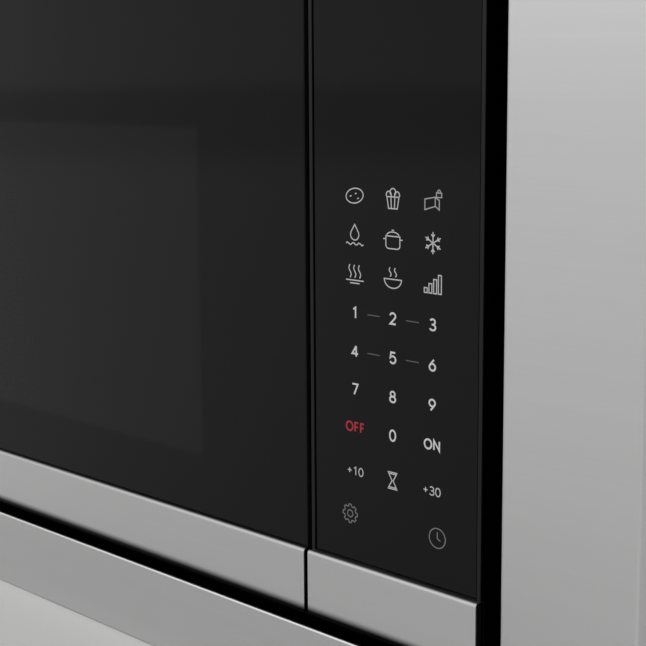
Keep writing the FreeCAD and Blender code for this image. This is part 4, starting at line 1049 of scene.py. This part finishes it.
    def cross_screw(self, seat: Vector, axis: Vector, head: Point, shank: Point) -> None:
        """Add a screw with a pan head, a cross recess and a plain shank.

        Args:
            seat: middle of the face that the head rests on.
            axis: unit direction out of the head.
            head: radius and height of the head.
            shank: radius and length of the shank.
        """
        radius, height = head
        shank_radius, length = shank
        sides = self.SCREW_SIDES
        rings = [hoop(seat + axis * (up * height), axis, size * radius, sides)
                 for size, up in self.HEAD_SHARES]
        points = [point for ring in rings for point in ring]
        faces: list[Face] = [tuple(range(sides))]
        for index in range(len(rings) - 1):
            faces += band(index * sides, (index + 1) * sides, sides)
        mouth, floor = (self.recess(seat + axis * (up * height), axis, radius)
                        for up in (1.0, self.RECESS_FLOOR_SHARE))
        first = len(points)
        rim = first - sides
        faces += [tuple(rim + index for index in face) for face in tessellate_polygon([rings[-1], mouth])]
        points += mouth + floor
        size = len(mouth)
        faces += band(first, first + size, size)
        faces.append(tuple(range(first + size, first + 2 * size)))
        self.add(points, faces)
        start = hoop(seat, -axis, shank_radius, sides)
        self.loft([start, [point - axis * length for point in start]])

    def recess(self, middle: Vector, axis: Vector, radius: float) -> list[Vector]:
        """Return the outline of a cross recess.

        Args:
            middle: its middle.
            axis: unit direction out of the head.
            radius: radius of the head.

        Returns:
            The corners once round.
        """
        side, other = square_to(axis)
        arm = self.RECESS_ARM_SHARE
        half = self.RECESS_HALF_SHARE
        quarter = [(arm, -half), (arm, half), (half, half)]
        corners: list[Point] = []
        for _ in range(4):
            corners += quarter
            quarter = [(-z, x) for x, z in quarter]
        return [middle + (side * x + other * z) * radius for x, z in corners]

    def piece(self, name: str, material: bpy.types.Material, body: str, slot: str) -> bpy.types.Object:
        """Turn what was gathered into a piece that rides on a body.

        Args:
            name: name of the piece.
            material: its finish.
            body: the CAD body that it moves with.
            slot: the record's material slot that it belongs to; not used.

        Returns:
            The new object.
        """
        mesh = bpy.data.meshes.new(name)
        mesh.from_pydata(self.points, [], self.faces)
        mesh.validate()
        outward = bmesh.new()
        outward.from_mesh(mesh)
        bmesh.ops.recalc_face_normals(outward, faces=outward.faces)
        outward.to_mesh(mesh)
        outward.free()
        mesh.shade_smooth()
        mesh.set_sharp_from_angle(angle=self.SHARP_ANGLE)
        mesh.materials.append(material)
        made = bpy.data.objects.new(name, mesh)
        bpy.context.scene.collection.objects.link(made)
        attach(made, body)
        LOG.info("piece %s on %s", name, body)
        return made


class LegendInk(Enum):
    """Inks of the legends."""

    WHITE = Ink("ink_white", grey(0.60))
    RED = Ink("ink_red", (0.42, 0.03, 0.05))
    PALE = Ink("ink_pale", grey(0.52))
    SOFT = Ink("ink_soft", grey(0.36))
    MID = Ink("ink_mid", grey(0.19))
    DIM = Ink("ink_dim", grey(0.12))


@dataclass
class TouchLegends:
    """Numbers, words and drawings printed on the glass of the control panel."""

    home_rise: float = 116.8 * MM
    column_pitch: float = 26.3 * MM
    row_pitch: float = 20.85 * MM
    step_row_drop: float = 66.2 * MM
    foot_row_drop: float = 90.7 * MM
    foot_spread: float = 30.1 * MM
    digit_height: float = 6.7 * MM
    word_height: float = 5.9 * MM
    step_height: float = 5.0 * MM
    dash_length: float = 8.6 * MM
    sign_scale: float = 1.12 * MM
    small_scale: float = 0.92 * MM
    bold: float = 1.0 * MM
    stroke: float = 0.6 * MM
    hair: float = 0.5 * MM
    film: float = 0.04 * MM
    lap: float = 0.006 * MM

    def __post_init__(self) -> None:
        """Find the face of the glass and the middle of the 5 key on it."""
        low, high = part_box("panel_glass")
        self.face: float = low.y
        self.home: Point = ((low.x + high.x) / 2, low.z + self.home_rise)

    def build(self) -> None:
        """Print every legend."""
        inks = {ink: ink.value.material() for ink in LegendInk}
        prints = (
            ("legend_digits", LegendInk.WHITE, self.print_digits),
            ("legend_on", LegendInk.WHITE, self.print_start),
            ("legend_off", LegendInk.RED, self.print_stop),
            ("legend_time_steps", LegendInk.PALE, self.print_time_steps),
            ("legend_cooking_signs", LegendInk.PALE, self.print_cooking_signs),
            ("legend_door_lock", LegendInk.SOFT, self.print_door_lock),
            ("legend_service_signs", LegendInk.MID, self.print_service_signs),
            ("legend_dashes", LegendInk.DIM, self.print_dashes),
        )
        for name, ink, fill in prints:
            stock = Stock()
            fill(stock)
            stock.piece(name, inks[ink], "oven", "white_nylon")

    def spot(self, column: float, row: float) -> Point:
        """Return a key's place by columns to the right and rows above the 5 key."""
        return (self.home[0] + column * self.column_pitch, self.home[1] + row * self.row_pitch)

    def print_digits(self, stock: Stock) -> None:
        """Print 1 to 9 in three rows, and 0 below them.

        Args:
            stock: what the shapes are added to.
        """
        for digit in range(1, 10):
            row, column = divmod(digit - 1, 3)
            self.write(stock, str(digit), self.spot(column - 1, 1 - row), self.digit_height, self.bold)
        self.write(stock, "0", self.spot(0, -2), self.digit_height, self.bold)

    def print_start(self, stock: Stock) -> None:
        """Print the word on the start key."""
        self.write(stock, "ON", self.spot(1, -2), self.word_height, self.bold)

    def print_stop(self, stock: Stock) -> None:
        """Print the word on the stop key."""
        self.write(stock, "OFF", self.spot(-1, -2), self.word_height, self.bold)

    def print_time_steps(self, stock: Stock) -> None:
        """Print the two keys that add time.

        Args:
            stock: what the shapes are added to.
        """
        height = self.home[1] - self.step_row_drop
        for column, text in ((-1, "+10"), (1, "+30")):
            self.write(stock, text, (self.spot(column, 0)[0], height), self.step_height, self.stroke)

    def print_cooking_signs(self, stock: Stock) -> None:
        """Print the drawings of the cooking keys.

        Args:
            stock: what the shapes are added to.
        """
        rows = ((Sign.TUBER, Sign.TUB), (Sign.DROP, Sign.POT, Sign.FLAKE), (Sign.STEAM, Sign.BOWL, Sign.BARS))
        for index, row in enumerate(rows):
            for column, sign in enumerate(row):
                self.draw(stock, sign.value, self.spot(column - 1, 4 - index), self.sign_scale, self.stroke)
        below = (self.home[0], self.home[1] - self.step_row_drop)
        self.draw(stock, Sign.HOURGLASS.value, below, self.small_scale, self.stroke)

    def print_door_lock(self, stock: Stock) -> None:
        """Print the drawing of the key that opens the door."""
        self.draw(stock, Sign.DOOR_LOCK.value, self.spot(1, 4), self.small_scale, self.stroke)

    def print_service_signs(self, stock: Stock) -> None:
        """Print the drawings of the two keys at the foot.

        Args:
            stock: what the shapes are added to.
        """
        height = self.home[1] - self.foot_row_drop
        for side, sign in ((-1, Sign.GEAR), (1, Sign.CLOCK)):
            middle = (self.home[0] + side * self.foot_spread, height)
            self.draw(stock, sign.value, middle, self.small_scale, self.stroke)

    def print_dashes(self, stock: Stock) -> None:
        """Print the short lines between the quick keys.

        Args:
            stock: what the shapes are added to.
        """
        half = self.dash_length / 2
        for row in (1, 0):
            for column in (-0.5, 0.5):
                across, up = self.spot(column, row)
                dash = [(across - half, up), (across + half, up)]
                stock.ribbon((dash, OPEN), self.hair, self.face, self.film)

    def draw(self, stock: Stock, lines: list[Line], middle: Point, scale: float, weight: float) -> None:
        """Add one drawing, each further line of it a little thicker than the one before.

        Args:
            stock: what the shapes are added to.
            lines: the drawing about its middle.
            middle: where that goes in X and Z.
            scale: how many metres one unit of the drawing takes.
            weight: width of the lines.
        """
        for index, (path, closed) in enumerate(lines):
            moved = [(middle[0] + x * scale, middle[1] + z * scale) for x, z in path]
            stock.ribbon((moved, closed), weight, self.face, self.film + index * self.lap)

    def write(self, stock: Stock, text: str, middle: Point, height: float, weight: float) -> None:
        """Add plain figures or letters.

        Args:
            stock: what the shapes are added to.
            text: what to write.
            middle: centre of the writing in X and Z.
            height: full height of a figure.
            weight: width of its lines.
        """
        rise = height - weight
        widths = [LETTER_SHARES.get(mark, FIGURE_SHARE) * rise for mark in text]
        pen = middle[0] - sum(widths) / 2
        for mark, width in zip(text, widths):
            self.draw(stock, FIGURES[mark], (pen + width / 2, middle[1]), rise, weight)
            pen += width


@dataclass
class CoverPressings:
    """Hooded louvres over the vents, and stiffening ribs in the cover and rear panel."""

    cover_finish: bpy.types.Material
    rear_finish: bpy.types.Material
    slot_length: float = 70 * MM
    slot_height: float = 5 * MM
    slot_pitch: float = 11 * MM
    slot_count: int = 8
    rear_slot_rise: float = 130 * MM
    side_slot_rise: float = 60 * MM
    side_slot_room: float = 55 * MM
    hood_depth: float = 2.4 * MM
    hood_rise: float = 4.8 * MM
    hood_lip: float = 1.3 * MM
    hood_sheet: float = 0.6 * MM
    hood_turns: tuple[int, ...] = (0, 18, 36, 54, 72, 90)
    hood_end_shares: tuple[float, ...] = (0.84, 0.9, 0.95, 0.985, 1.0)
    hood_least_share: float = 0.08
    hood_inner_share: float = 0.75
    rib_width: float = 9 * MM
    rib_height: float = 1.8 * MM
    rib_corner: float = 24 * MM
    roof_rib: Point = (460 * MM, 270 * MM)
    left_rib: Point = (290 * MM, 220 * MM)
    right_rib: Point = (190 * MM, 220 * MM)
    rear_rib: Point = (350 * MM, 250 * MM)
    side_rib_setback: float = 65 * MM

    def build(self) -> None:
        """Press the louvres and the ribs."""
        self.press_louvres()
        self.press_ribs()

    def press_louvres(self) -> None:
        """Press a row of louvres in the rear panel and one in the right side."""
        low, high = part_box("rear_panel")
        gland_low, gland_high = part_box("cord_gland")
        middle = (gland_low.x + gland_high.x) / 2
        foot = Vector((middle, high.y, low.z + self.rear_slot_rise + self.slot_height / 2))
        self.louvre_row(foot, BACK, RIGHT).piece("rear_louvres", self.rear_finish, "oven", "zinc_steel")
        low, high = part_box("outer_cover")
        middle = high.y - self.side_slot_room - self.slot_length / 2
        foot = Vector((high.x, middle, low.z + self.side_slot_rise + self.slot_height / 2))
        self.louvre_row(foot, RIGHT, BACK).piece("side_louvres", self.cover_finish, "oven", "grey_paint")

    def louvre_row(self, foot: Vector, out: Vector, along: Vector) -> Stock:
        """Return a row of hoods that are open below.

        Args:
            foot: middle of the lowest slot, on the sheet.
            out: unit direction out of the sheet.
            along: unit direction along a slot.

        Returns:
            The hoods' shapes.
        """
        row = Stock()
        shares = [-share for share in self.hood_end_shares[::-1]] + list(self.hood_end_shares)
        for index in range(self.slot_count):
            middle = foot + UP * (index * self.slot_pitch)
            row.loft([self.hood_section(middle, out, along, share) for share in shares])
        return row

    def hood_section(self, middle: Vector, out: Vector, along: Vector, share: float) -> list[Vector]:
        """Return the outline of a hood at one place along its slot.

        Args:
            middle: middle of the slot, on the sheet.
            out: unit direction out of the sheet.
            along: unit direction along the slot.
            share: the place, from -1 at one end to 1 at the other.

        Returns:
            The outline, over the hood's outside and back along its inside.
        """
        flat = self.hood_end_shares[0]
        end = max(0.0, abs(share) - flat) / (1 - flat)
        depth = self.hood_depth * max(self.hood_least_share, math.cos(end * math.pi / 2))
        spot = middle + along * (share * (self.slot_length / 2 + self.hood_sheet)) - UP * self.hood_lip
        turns = [math.radians(turn) for turn in self.hood_turns]
        skins = ((depth, self.hood_rise), (depth * self.hood_inner_share, self.hood_rise - self.hood_sheet))
        outer, inner = (
            [spot + out * (reach * math.sin(turn)) + UP * (rise * math.cos(turn)) for turn in turns]
            for reach, rise in skins
        )
        return outer + inner[::-1]

    def press_ribs(self) -> None:
        """Press a rib round the roof, both sides and the rear panel."""
        low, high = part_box("outer_cover")
        middle = (low + high) / 2
        back = middle.y + self.side_rib_setback / 2
        front = low.y + self.side_rib_setback + self.right_rib[0] / 2
        cover = Stock()
        self.rib(cover, self.roof_rib, Vector((middle.x, back, high.z)), RIGHT, BACK)
        self.rib(cover, self.left_rib, Vector((low.x, back, middle.z)), -BACK, UP)
        self.rib(cover, self.right_rib, Vector((high.x, front, middle.z)), BACK, UP)
        cover.piece("cover_ribs", self.cover_finish, "oven", "grey_paint")
        cavity_low, cavity_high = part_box("cavity_back")
        centre = (cavity_low + cavity_high) / 2
        rear = Stock()
        self.rib(rear, self.rear_rib, Vector((centre.x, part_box("rear_panel")[1].y, centre.z)), -RIGHT, UP)
        rear.piece("rear_ribs", self.rear_finish, "oven", "zinc_steel")

    def rib(self, stock: Stock, size: Point, middle: Vector, across: Vector, up: Vector) -> None:
        """Add one rib round a rectangle on a sheet that faces across x up."""
        path = [middle + across * x + up * z for x, z in rounded(*size, self.rib_corner)]
        stock.bead(path, across.cross(up), self.rib_width, self.rib_height)


@dataclass
class Screws:
    """Cross-head screws in the rear panel and at the corners of the trim."""

    finish: bpy.types.Material
    cover_head: Point = (3.5 * MM, 2.2 * MM)
    corner_head: Point = (3 * MM, 1.8 * MM)
    corner_shares: Point = (0.3, 0.7)
    trim_sheet: float = 1.2 * MM
    shank_radius: float = 1.5 * MM

    def build(self) -> None:
        """Drive both sets of screws."""
        self.drive_cover_screws()
        self.drive_corner_screws()

    def drive_cover_screws(self) -> None:
        """Drive the four screws of the rear panel."""
        low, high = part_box("cover_screws")
        radius, height = self.cover_head
        seat_y = high.y - height
        stock = Stock()
        for x in (low.x + radius, high.x - radius):
            for z in (low.z + radius, high.z - radius):
                shank = (self.shank_radius, seat_y - low.y)
                stock.cross_screw(Vector((x, seat_y, z)), BACK, self.cover_head, shank)
        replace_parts(stock.piece("rear_screws", self.finish, "oven", "zinc_steel"), "cover_screws")

    def drive_corner_screws(self) -> None:
        """Drive two screws through each corner of the trim."""
        low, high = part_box("corner_screws")
        stock = Stock()
        for rail in ("trim_bottom_rail", "trim_top_rail"):
            bottom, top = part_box(rail)
            for side in (-1, 1):
                for share in self.corner_shares:
                    height = bottom.z + (top.z - bottom.z) * share
                    seat = Vector((side * (top.x - self.trim_sheet), (low.y + high.y) / 2, height))
                    shank = (self.shank_radius, high.x - abs(seat.x))
                    stock.cross_screw(seat, RIGHT * -side, self.corner_head, shank)
        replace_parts(stock.piece("trim_screws", self.finish, "oven", "zinc_steel"), "corner_screws")


@dataclass
class CornerSeals:
    """Foam cords squeezed between the side brackets and the air deflectors."""

    finish: bpy.types.Material
    radius: float = 1.9 * MM
    squeeze: float = 0.1 * MM
    ripple: float = 9 * MM
    step: float = 1.5 * MM
    sides: int = 14

    def build(self) -> None:
        """Press one cord into each of the four corners behind the opening."""
        low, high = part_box("air_deflectors")
        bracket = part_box("side_brackets")[1]
        stock = Stock()
        for side in (-1, 1):
            for end in (-1, 1):
                self.cord(stock, side * high.x, (low.y, high.y), end * bracket.z)
        stock.piece("corner_seals", self.finish, "oven", "rubber")

    def cord(self, stock: Stock, across: float, run: Point, up: float) -> None:
        """Add one cord with rounded ends.

        Args:
            stock: what the shape is added to.
            across: X of the cord's axis.
            run: Y of its front and back ends.
            up: Z of its axis.
        """
        front, back = run
        turns = [2 * math.pi * index / self.sides for index in range(self.sides)]
        count = round((back - front) / self.step)
        sections = []
        for index in range(count + 1):
            along = front + (back - front) * index / count
            room = min(1.0, (min(along - front, back - along) + self.squeeze) / self.radius)
            radius = self.radius * math.sqrt(room * (2 - room))
            radius -= self.squeeze * math.sin(2 * math.pi * along / self.ripple) ** 2
            spokes = [(radius * math.cos(turn), radius * math.sin(turn)) for turn in turns]
            sections.append([Vector((across + x, along, up + z)) for x, z in spokes])
        stock.loft(sections)


@dataclass
class DoorInside:
    """Punched screen behind the clear pane on the inner side of the door."""

    screen_finish: bpy.types.Material
    pane_finish: bpy.types.Material
    pitch: float = 4 * MM
    hole_radius: float = 1.35 * MM
    screen_sheet: float = 0.5 * MM
    pane_gap: float = 0.2 * MM
    pane_corner: float = 4 * MM

    def build(self) -> None:
        """Fit the screen and the pane in place of the plain pane."""
        low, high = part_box("door_window_pane")
        middle = (low + high) / 2
        wide = high.x - low.x
        tall = high.z - low.z
        face = low.y + self.screen_sheet
        holes = (int(wide / self.pitch), int(tall / self.pitch))
        half_wide, half_tall = (count * self.pitch / 2 for count in holes)
        corner = Vector((middle.x + half_wide, face, middle.z - half_tall))
        screen = Stock()
        screen.punched_sheet(corner, -RIGHT, UP, holes, self.pitch, self.hole_radius, self.screen_sheet)
        screen.piece("door_screen", self.screen_finish, "door", "black_paint")
        pane = Stock()
        outline = rounded(wide, tall, self.pane_corner)
        faces = (face + self.pane_gap, high.y)
        pane.loft([[Vector((middle.x + x, y, middle.z + z)) for x, z in outline] for y in faces])
        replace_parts(pane.piece("door_pane", self.pane_finish, "door", "clear_glass"), "door_window_pane")


@dataclass
class OvenInside:
    """Punched guard over the lamp and punched air outlet in the walls of the cavity."""

    finish: bpy.types.Material
    shade: bpy.types.Material
    wall_sheet: float = 1 * MM
    guard_sheet: float = 0.6 * MM
    backing: float = 0.1 * MM
    pitch: float = 4 * MM
    hole_radius: float = 1.4 * MM
    guard_holes: tuple[int, int] = (10, 9)
    outlet_holes: tuple[int, int] = (24, 9)
    outlet_setback: float = 90 * MM

    def build(self) -> None:
        """Fit the guard and the outlet, with a dark back behind its holes as painted shade."""
        low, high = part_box("cavity_wrap")
        lamp_low, lamp_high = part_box("lamp_holder")
        lamp = (lamp_low + lamp_high) / 2
        wide, tall = (count * self.pitch for count in self.guard_holes)
        foot = lamp.z - tall / 2
        corner = Vector((high.x - self.wall_sheet - self.guard_sheet, lamp.y + wide / 2, foot))
        self.fit_sheet("lamp_guard", corner, -BACK, self.guard_holes)
        wall = low.x + self.wall_sheet
        corner = Vector((wall + self.backing + self.guard_sheet, low.y + self.outlet_setback, foot))
        self.fit_sheet("air_outlet", corner, BACK, self.outlet_holes)
        # Painted shade: a near-black plate behind the outlet's holes, where the vent would be in shade.
        wide, tall = (count * self.pitch for count in self.outlet_holes)
        outline = rounded(wide, tall, self.pitch)
        faces = [Vector((x, corner.y + wide / 2, corner.z + tall / 2)) for x in (wall, wall + self.backing)]
        dark = Stock()
        dark.loft([[face + BACK * y + UP * z for y, z in outline] for face in faces])
        dark.piece("air_outlet_shade", self.shade, "oven", "black_paint")

    def fit_sheet(self, name: str, corner: Vector, across: Vector, holes: tuple[int, int]) -> None:
        """Fit one punched sheet to a wall.

        Args:
            name: name of the piece.
            corner: lowest corner of its front.
            across: unit direction along a row of holes.
            holes: how many holes in a row, and how many rows.
        """
        sheet = Stock()
        sheet.punched_sheet(corner, across, UP, holes, self.pitch, self.hole_radius, self.guard_sheet)
        sheet.piece(name, self.finish, "oven", "cavity_enamel")


@dataclass
class Edges:
    """Broken edges on folded and moulded nodes."""

    frame_edge: float = 0.5 * MM
    cover_edge: float = 0.8 * MM
    sheet_edge: float = 0.4 * MM
    foot_edge: float = 1.5 * MM
    weld: float = 0.001 * MM
    steps: int = 2
    least_angle: float = math.radians(40)

    def apply(self) -> None:
        """Round the edges of each node by its own width."""
        for width, names in self.plan():
            for name in names.split():
                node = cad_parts[name]
                merge = node.modifiers.new("weld", "WELD")
                merge.merge_threshold = self.weld
                bevel = node.modifiers.new("broken_edges", "BEVEL")
                bevel.width = width
                bevel.segments = self.steps
                bevel.limit_method = "ANGLE"
                bevel.angle_limit = self.least_angle
                LOG.info("edges of %s broken by %.2f mm", name, width / MM)

    def plan(self) -> list[tuple[float, str]]:
        """Return each width with the nodes that have it."""
        return [
            (self.frame_edge, "panel_frame door_frame"),
            (self.cover_edge, "door_choke_cover outer_cover"),
            (self.sheet_edge, "rear_panel latch_hooks latch_base cord_gland"),
            (self.foot_edge, "feet"),
        ]


@dataclass(frozen=True)
class Softbox:
    """A square lamp that faces the object."""

    name: str
    place: Place
    size: float
    power: float

    def hang(self) -> None:
        """Hang the lamp in its place."""
        lamp = bpy.data.lights.new(self.name, "AREA")
        lamp.size = self.size
        lamp.energy = self.power
        holder = bpy.data.objects.new(self.name, lamp)
        holder.location = self.place
        holder.rotation_euler = (-Vector(self.place)).to_track_quat("-Z", "Y").to_euler()
        bpy.context.scene.collection.objects.link(holder)


@dataclass
class Studio:
    """Floor, light and camera."""

    floor_size: float = 40.0
    sky_colour: Colour = grey(0.80)
    sky_strength: float = 0.95
    key: Softbox = Softbox("key", (-1.8, -2.8, 2.6), size=4.4, power=45.0)
    fill: Softbox = Softbox("fill", (2.8, -1.6, 2.0), size=2.6, power=12.0)
    camera_place: Place = (0.6846, -0.5590, 0.1264)
    camera_yaw: float = 42.95
    camera_pitch: float = 7.94
    camera_roll: float = 0.34
    camera_lens: float = 76.29
    camera_sensor: float = 36.0
    camera_shift: float = -0.1006
    camera_near: float = 0.01

    def build(self) -> None:
        """Set up everything round the object."""
        self.lay_floor()
        self.light()
        self.aim_camera()

    def lay_floor(self) -> None:
        """Lay a pale floor under the lowest edge of the trim."""
        half = self.floor_size / 2
        height = CAD_BOX[0][2]
        mesh = bpy.data.meshes.new("floor")
        corners = [(-half, -half, height), (half, -half, height), (half, half, height), (-half, half, height)]
        mesh.from_pydata(corners, [], [(0, 1, 2, 3)])
        mesh.materials.append(Paper("floor_paper").material())
        floor = bpy.data.objects.new("floor", mesh)
        bpy.context.scene.collection.objects.link(floor)

    def light(self) -> None:
        """Light the object evenly, with a soft key from the upper left."""
        world = bpy.data.worlds.new("studio")
        world.use_nodes = True
        back = world.node_tree.nodes["Background"]
        back.inputs["Color"].default_value = (*self.sky_colour, 1.0)
        back.inputs["Strength"].default_value = self.sky_strength
        bpy.context.scene.world = world
        self.key.hang()
        self.fill.hang()

    def aim_camera(self) -> None:
        """Place the camera where the photograph was taken from."""
        lens = bpy.data.cameras.new("camera")
        lens.lens = self.camera_lens
        lens.sensor_width = self.camera_sensor
        lens.shift_y = self.camera_shift
        lens.clip_start = self.camera_near
        camera = bpy.data.objects.new("camera", lens)
        camera.location = self.camera_place
        aim = Euler((math.radians(90 - self.camera_pitch), 0.0, math.radians(self.camera_yaw))).to_matrix()
        tilt = Matrix.Rotation(math.radians(-self.camera_roll), 3, "Z")
        camera.rotation_euler = (aim @ tilt).to_euler()
        bpy.context.scene.collection.objects.link(camera)
        bpy.context.scene.camera = camera
        bpy.context.scene.view_settings.view_transform = "Standard"


@dataclass
class Finishes:
    """Which finish each CAD node has."""

    window: tuple[Point, Point] = ((-203.75 * MM, -104.4 * MM), (85.85 * MM, 91.7 * MM))
    # Half width and half height of the opening; the trim's returns inside it are blacked as painted shade.
    opening: Point = (303.75 * MM, 189.5 * MM)
    # Depths behind which the front frames' sides are near black as painted shade.
    frame_face: Point = (-22.1 * MM, -21.4 * MM)
    # Painted shade on the strips: the top bend dimmed to 0.58 over its highlight, and the underside blacked.
    strip_folds: tuple[tuple[float, float, float], ...] = (
        (-143.4 * MM, -142.0 * MM, 0.58),
        (-172.3 * MM, -177.3 * MM, 0.0),
    )

    def apply(self) -> dict[str, bpy.types.Material]:
        """Give every CAD node its finish.

        Returns:
            The materials by name.
        """
        made: dict[str, bpy.types.Material] = {}
        for finish, names in self.plan():
            material = made[finish.name] = finish.material()
            for name in names.split():
                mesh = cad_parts[name].data
                mesh.materials.clear()
                mesh.materials.append(material)
                LOG.info("finish %s on %s", finish.name, name)
        return made

    def plan(self) -> list[tuple[Finish, str]]:
        """Return each finish with the nodes that have it."""
        return [
            (BrushedSteel("trim_steel", Grain.ALONG_X, opening=self.opening),
             "trim_left_stile trim_right_stile trim_top_rail trim_bottom_rail"),
            (BrushedSteel("strip_steel", Grain.ALONG_X, folds=self.strip_folds), "door_strip panel_strip"),
            (BlackGlass("door_glass", window=self.window), "door_glass"),
            (BlackGlass("panel_glass"), "panel_glass"),
            (Moulding("front_frames", (0.0052, 0.0052, 0.0053), roughness=0.35, specular=0.25,
                      face=self.frame_face), "door_frame panel_frame"),
            (Moulding("black_plastic", (0.014, 0.014, 0.0145)),
             "door_choke_cover latch_base interlock_switches display_module cord_gland"
             " fan_rotor capacitor_clamp hinge_bushings"),
            (Paint("black_paint", grey(0.004), roughness=0.6, specular=0.1),
             "air_deflectors side_brackets hinge_brackets door_inner_panel"),
            (Paint("door_screen", (0.03, 0.03, 0.031), roughness=0.5), ""),
            (Paint("grey_paint", (0.32, 0.33, 0.34), roughness=0.45), "outer_cover"),
            (Paint("cavity_enamel", (0.60, 0.60, 0.58), roughness=0.35, spread=0.2),
             "cavity_wrap cavity_floor cavity_back front_plate"),
            (Plating("zinc_sheet"), "base_plate rear_panel waveguide magnetron_yoke magnetron_filter_box"
             " fan_bulkhead fan_strap lamp_holder unlock_solenoid turntable_motor"),
            (Plating("zinc_fittings", spangle=900.0, contrast=0.06, roughness=0.3),
             "corner_screws cover_screws solenoid_plunger thermal_cutouts"),
            (ClearGlass("tray_glass"), "glass_tray"),
            (ClearGlass("bulb_glass", ripple=120.0), "lamp_bulb"),
            (ClearGlass("pane", (0.9, 0.92, 0.92), wave=0.02 * MM), "door_window_pane"),
            (Moulding("rubber", grey(0.025), roughness=0.75, grain=1400.0, depth=0.06 * MM, specular=0.2),
             "feet"),
            (Moulding("foam", grey(0.005), roughness=0.85, grain=1100.0, depth=0.1 * MM, specular=0.1), ""),
            (Stripes("copper_turns", (0.50, 0.21, 0.09), Axis.Z, 1.1 * MM, metallic=1.0, roughness=0.35),
             "transformer_coils"),
            (Stripes("core_laminations", (0.16, 0.17, 0.18), Axis.X, 1.2 * MM, metallic=0.9, roughness=0.5),
             "transformer_core magnetron_core fan_motor"),
            (BrushedSteel("fin_aluminium", Grain.ALONG_Z, (0.68, 0.69, 0.70), roughness=0.4),
             "magnetron_fins capacitor"),
            (CircuitBoard("circuit_board"), "control_board noise_filter_board"),
            (Paint("mica", (0.50, 0.44, 0.33), roughness=0.55, spread=0.4), "mica_cover"),
            (Moulding("white_nylon", (0.70, 0.69, 0.65), roughness=0.5, grain=1800.0, depth=0.02 * MM),
             "turntable_coupler roller_spider roller_1 roller_2 roller_3 latch_hooks"),
        ]


def main() -> None:
    """Dress the oven and set up the picture."""
    logging.basicConfig(level=logging.INFO, format="%(name)s: %(message)s")
    finishes = Finishes().apply()
    Edges().apply()
    TouchLegends().build()
    CoverPressings(finishes["grey_paint"], finishes["zinc_sheet"]).build()
    Screws(finishes["zinc_fittings"]).build()
    CornerSeals(finishes["foam"]).build()
    DoorInside(finishes["door_screen"], finishes["pane"]).build()
    OvenInside(finishes["cavity_enamel"], finishes["black_paint"]).build()
    Studio().build()


if __name__ == "__main__":
    main()
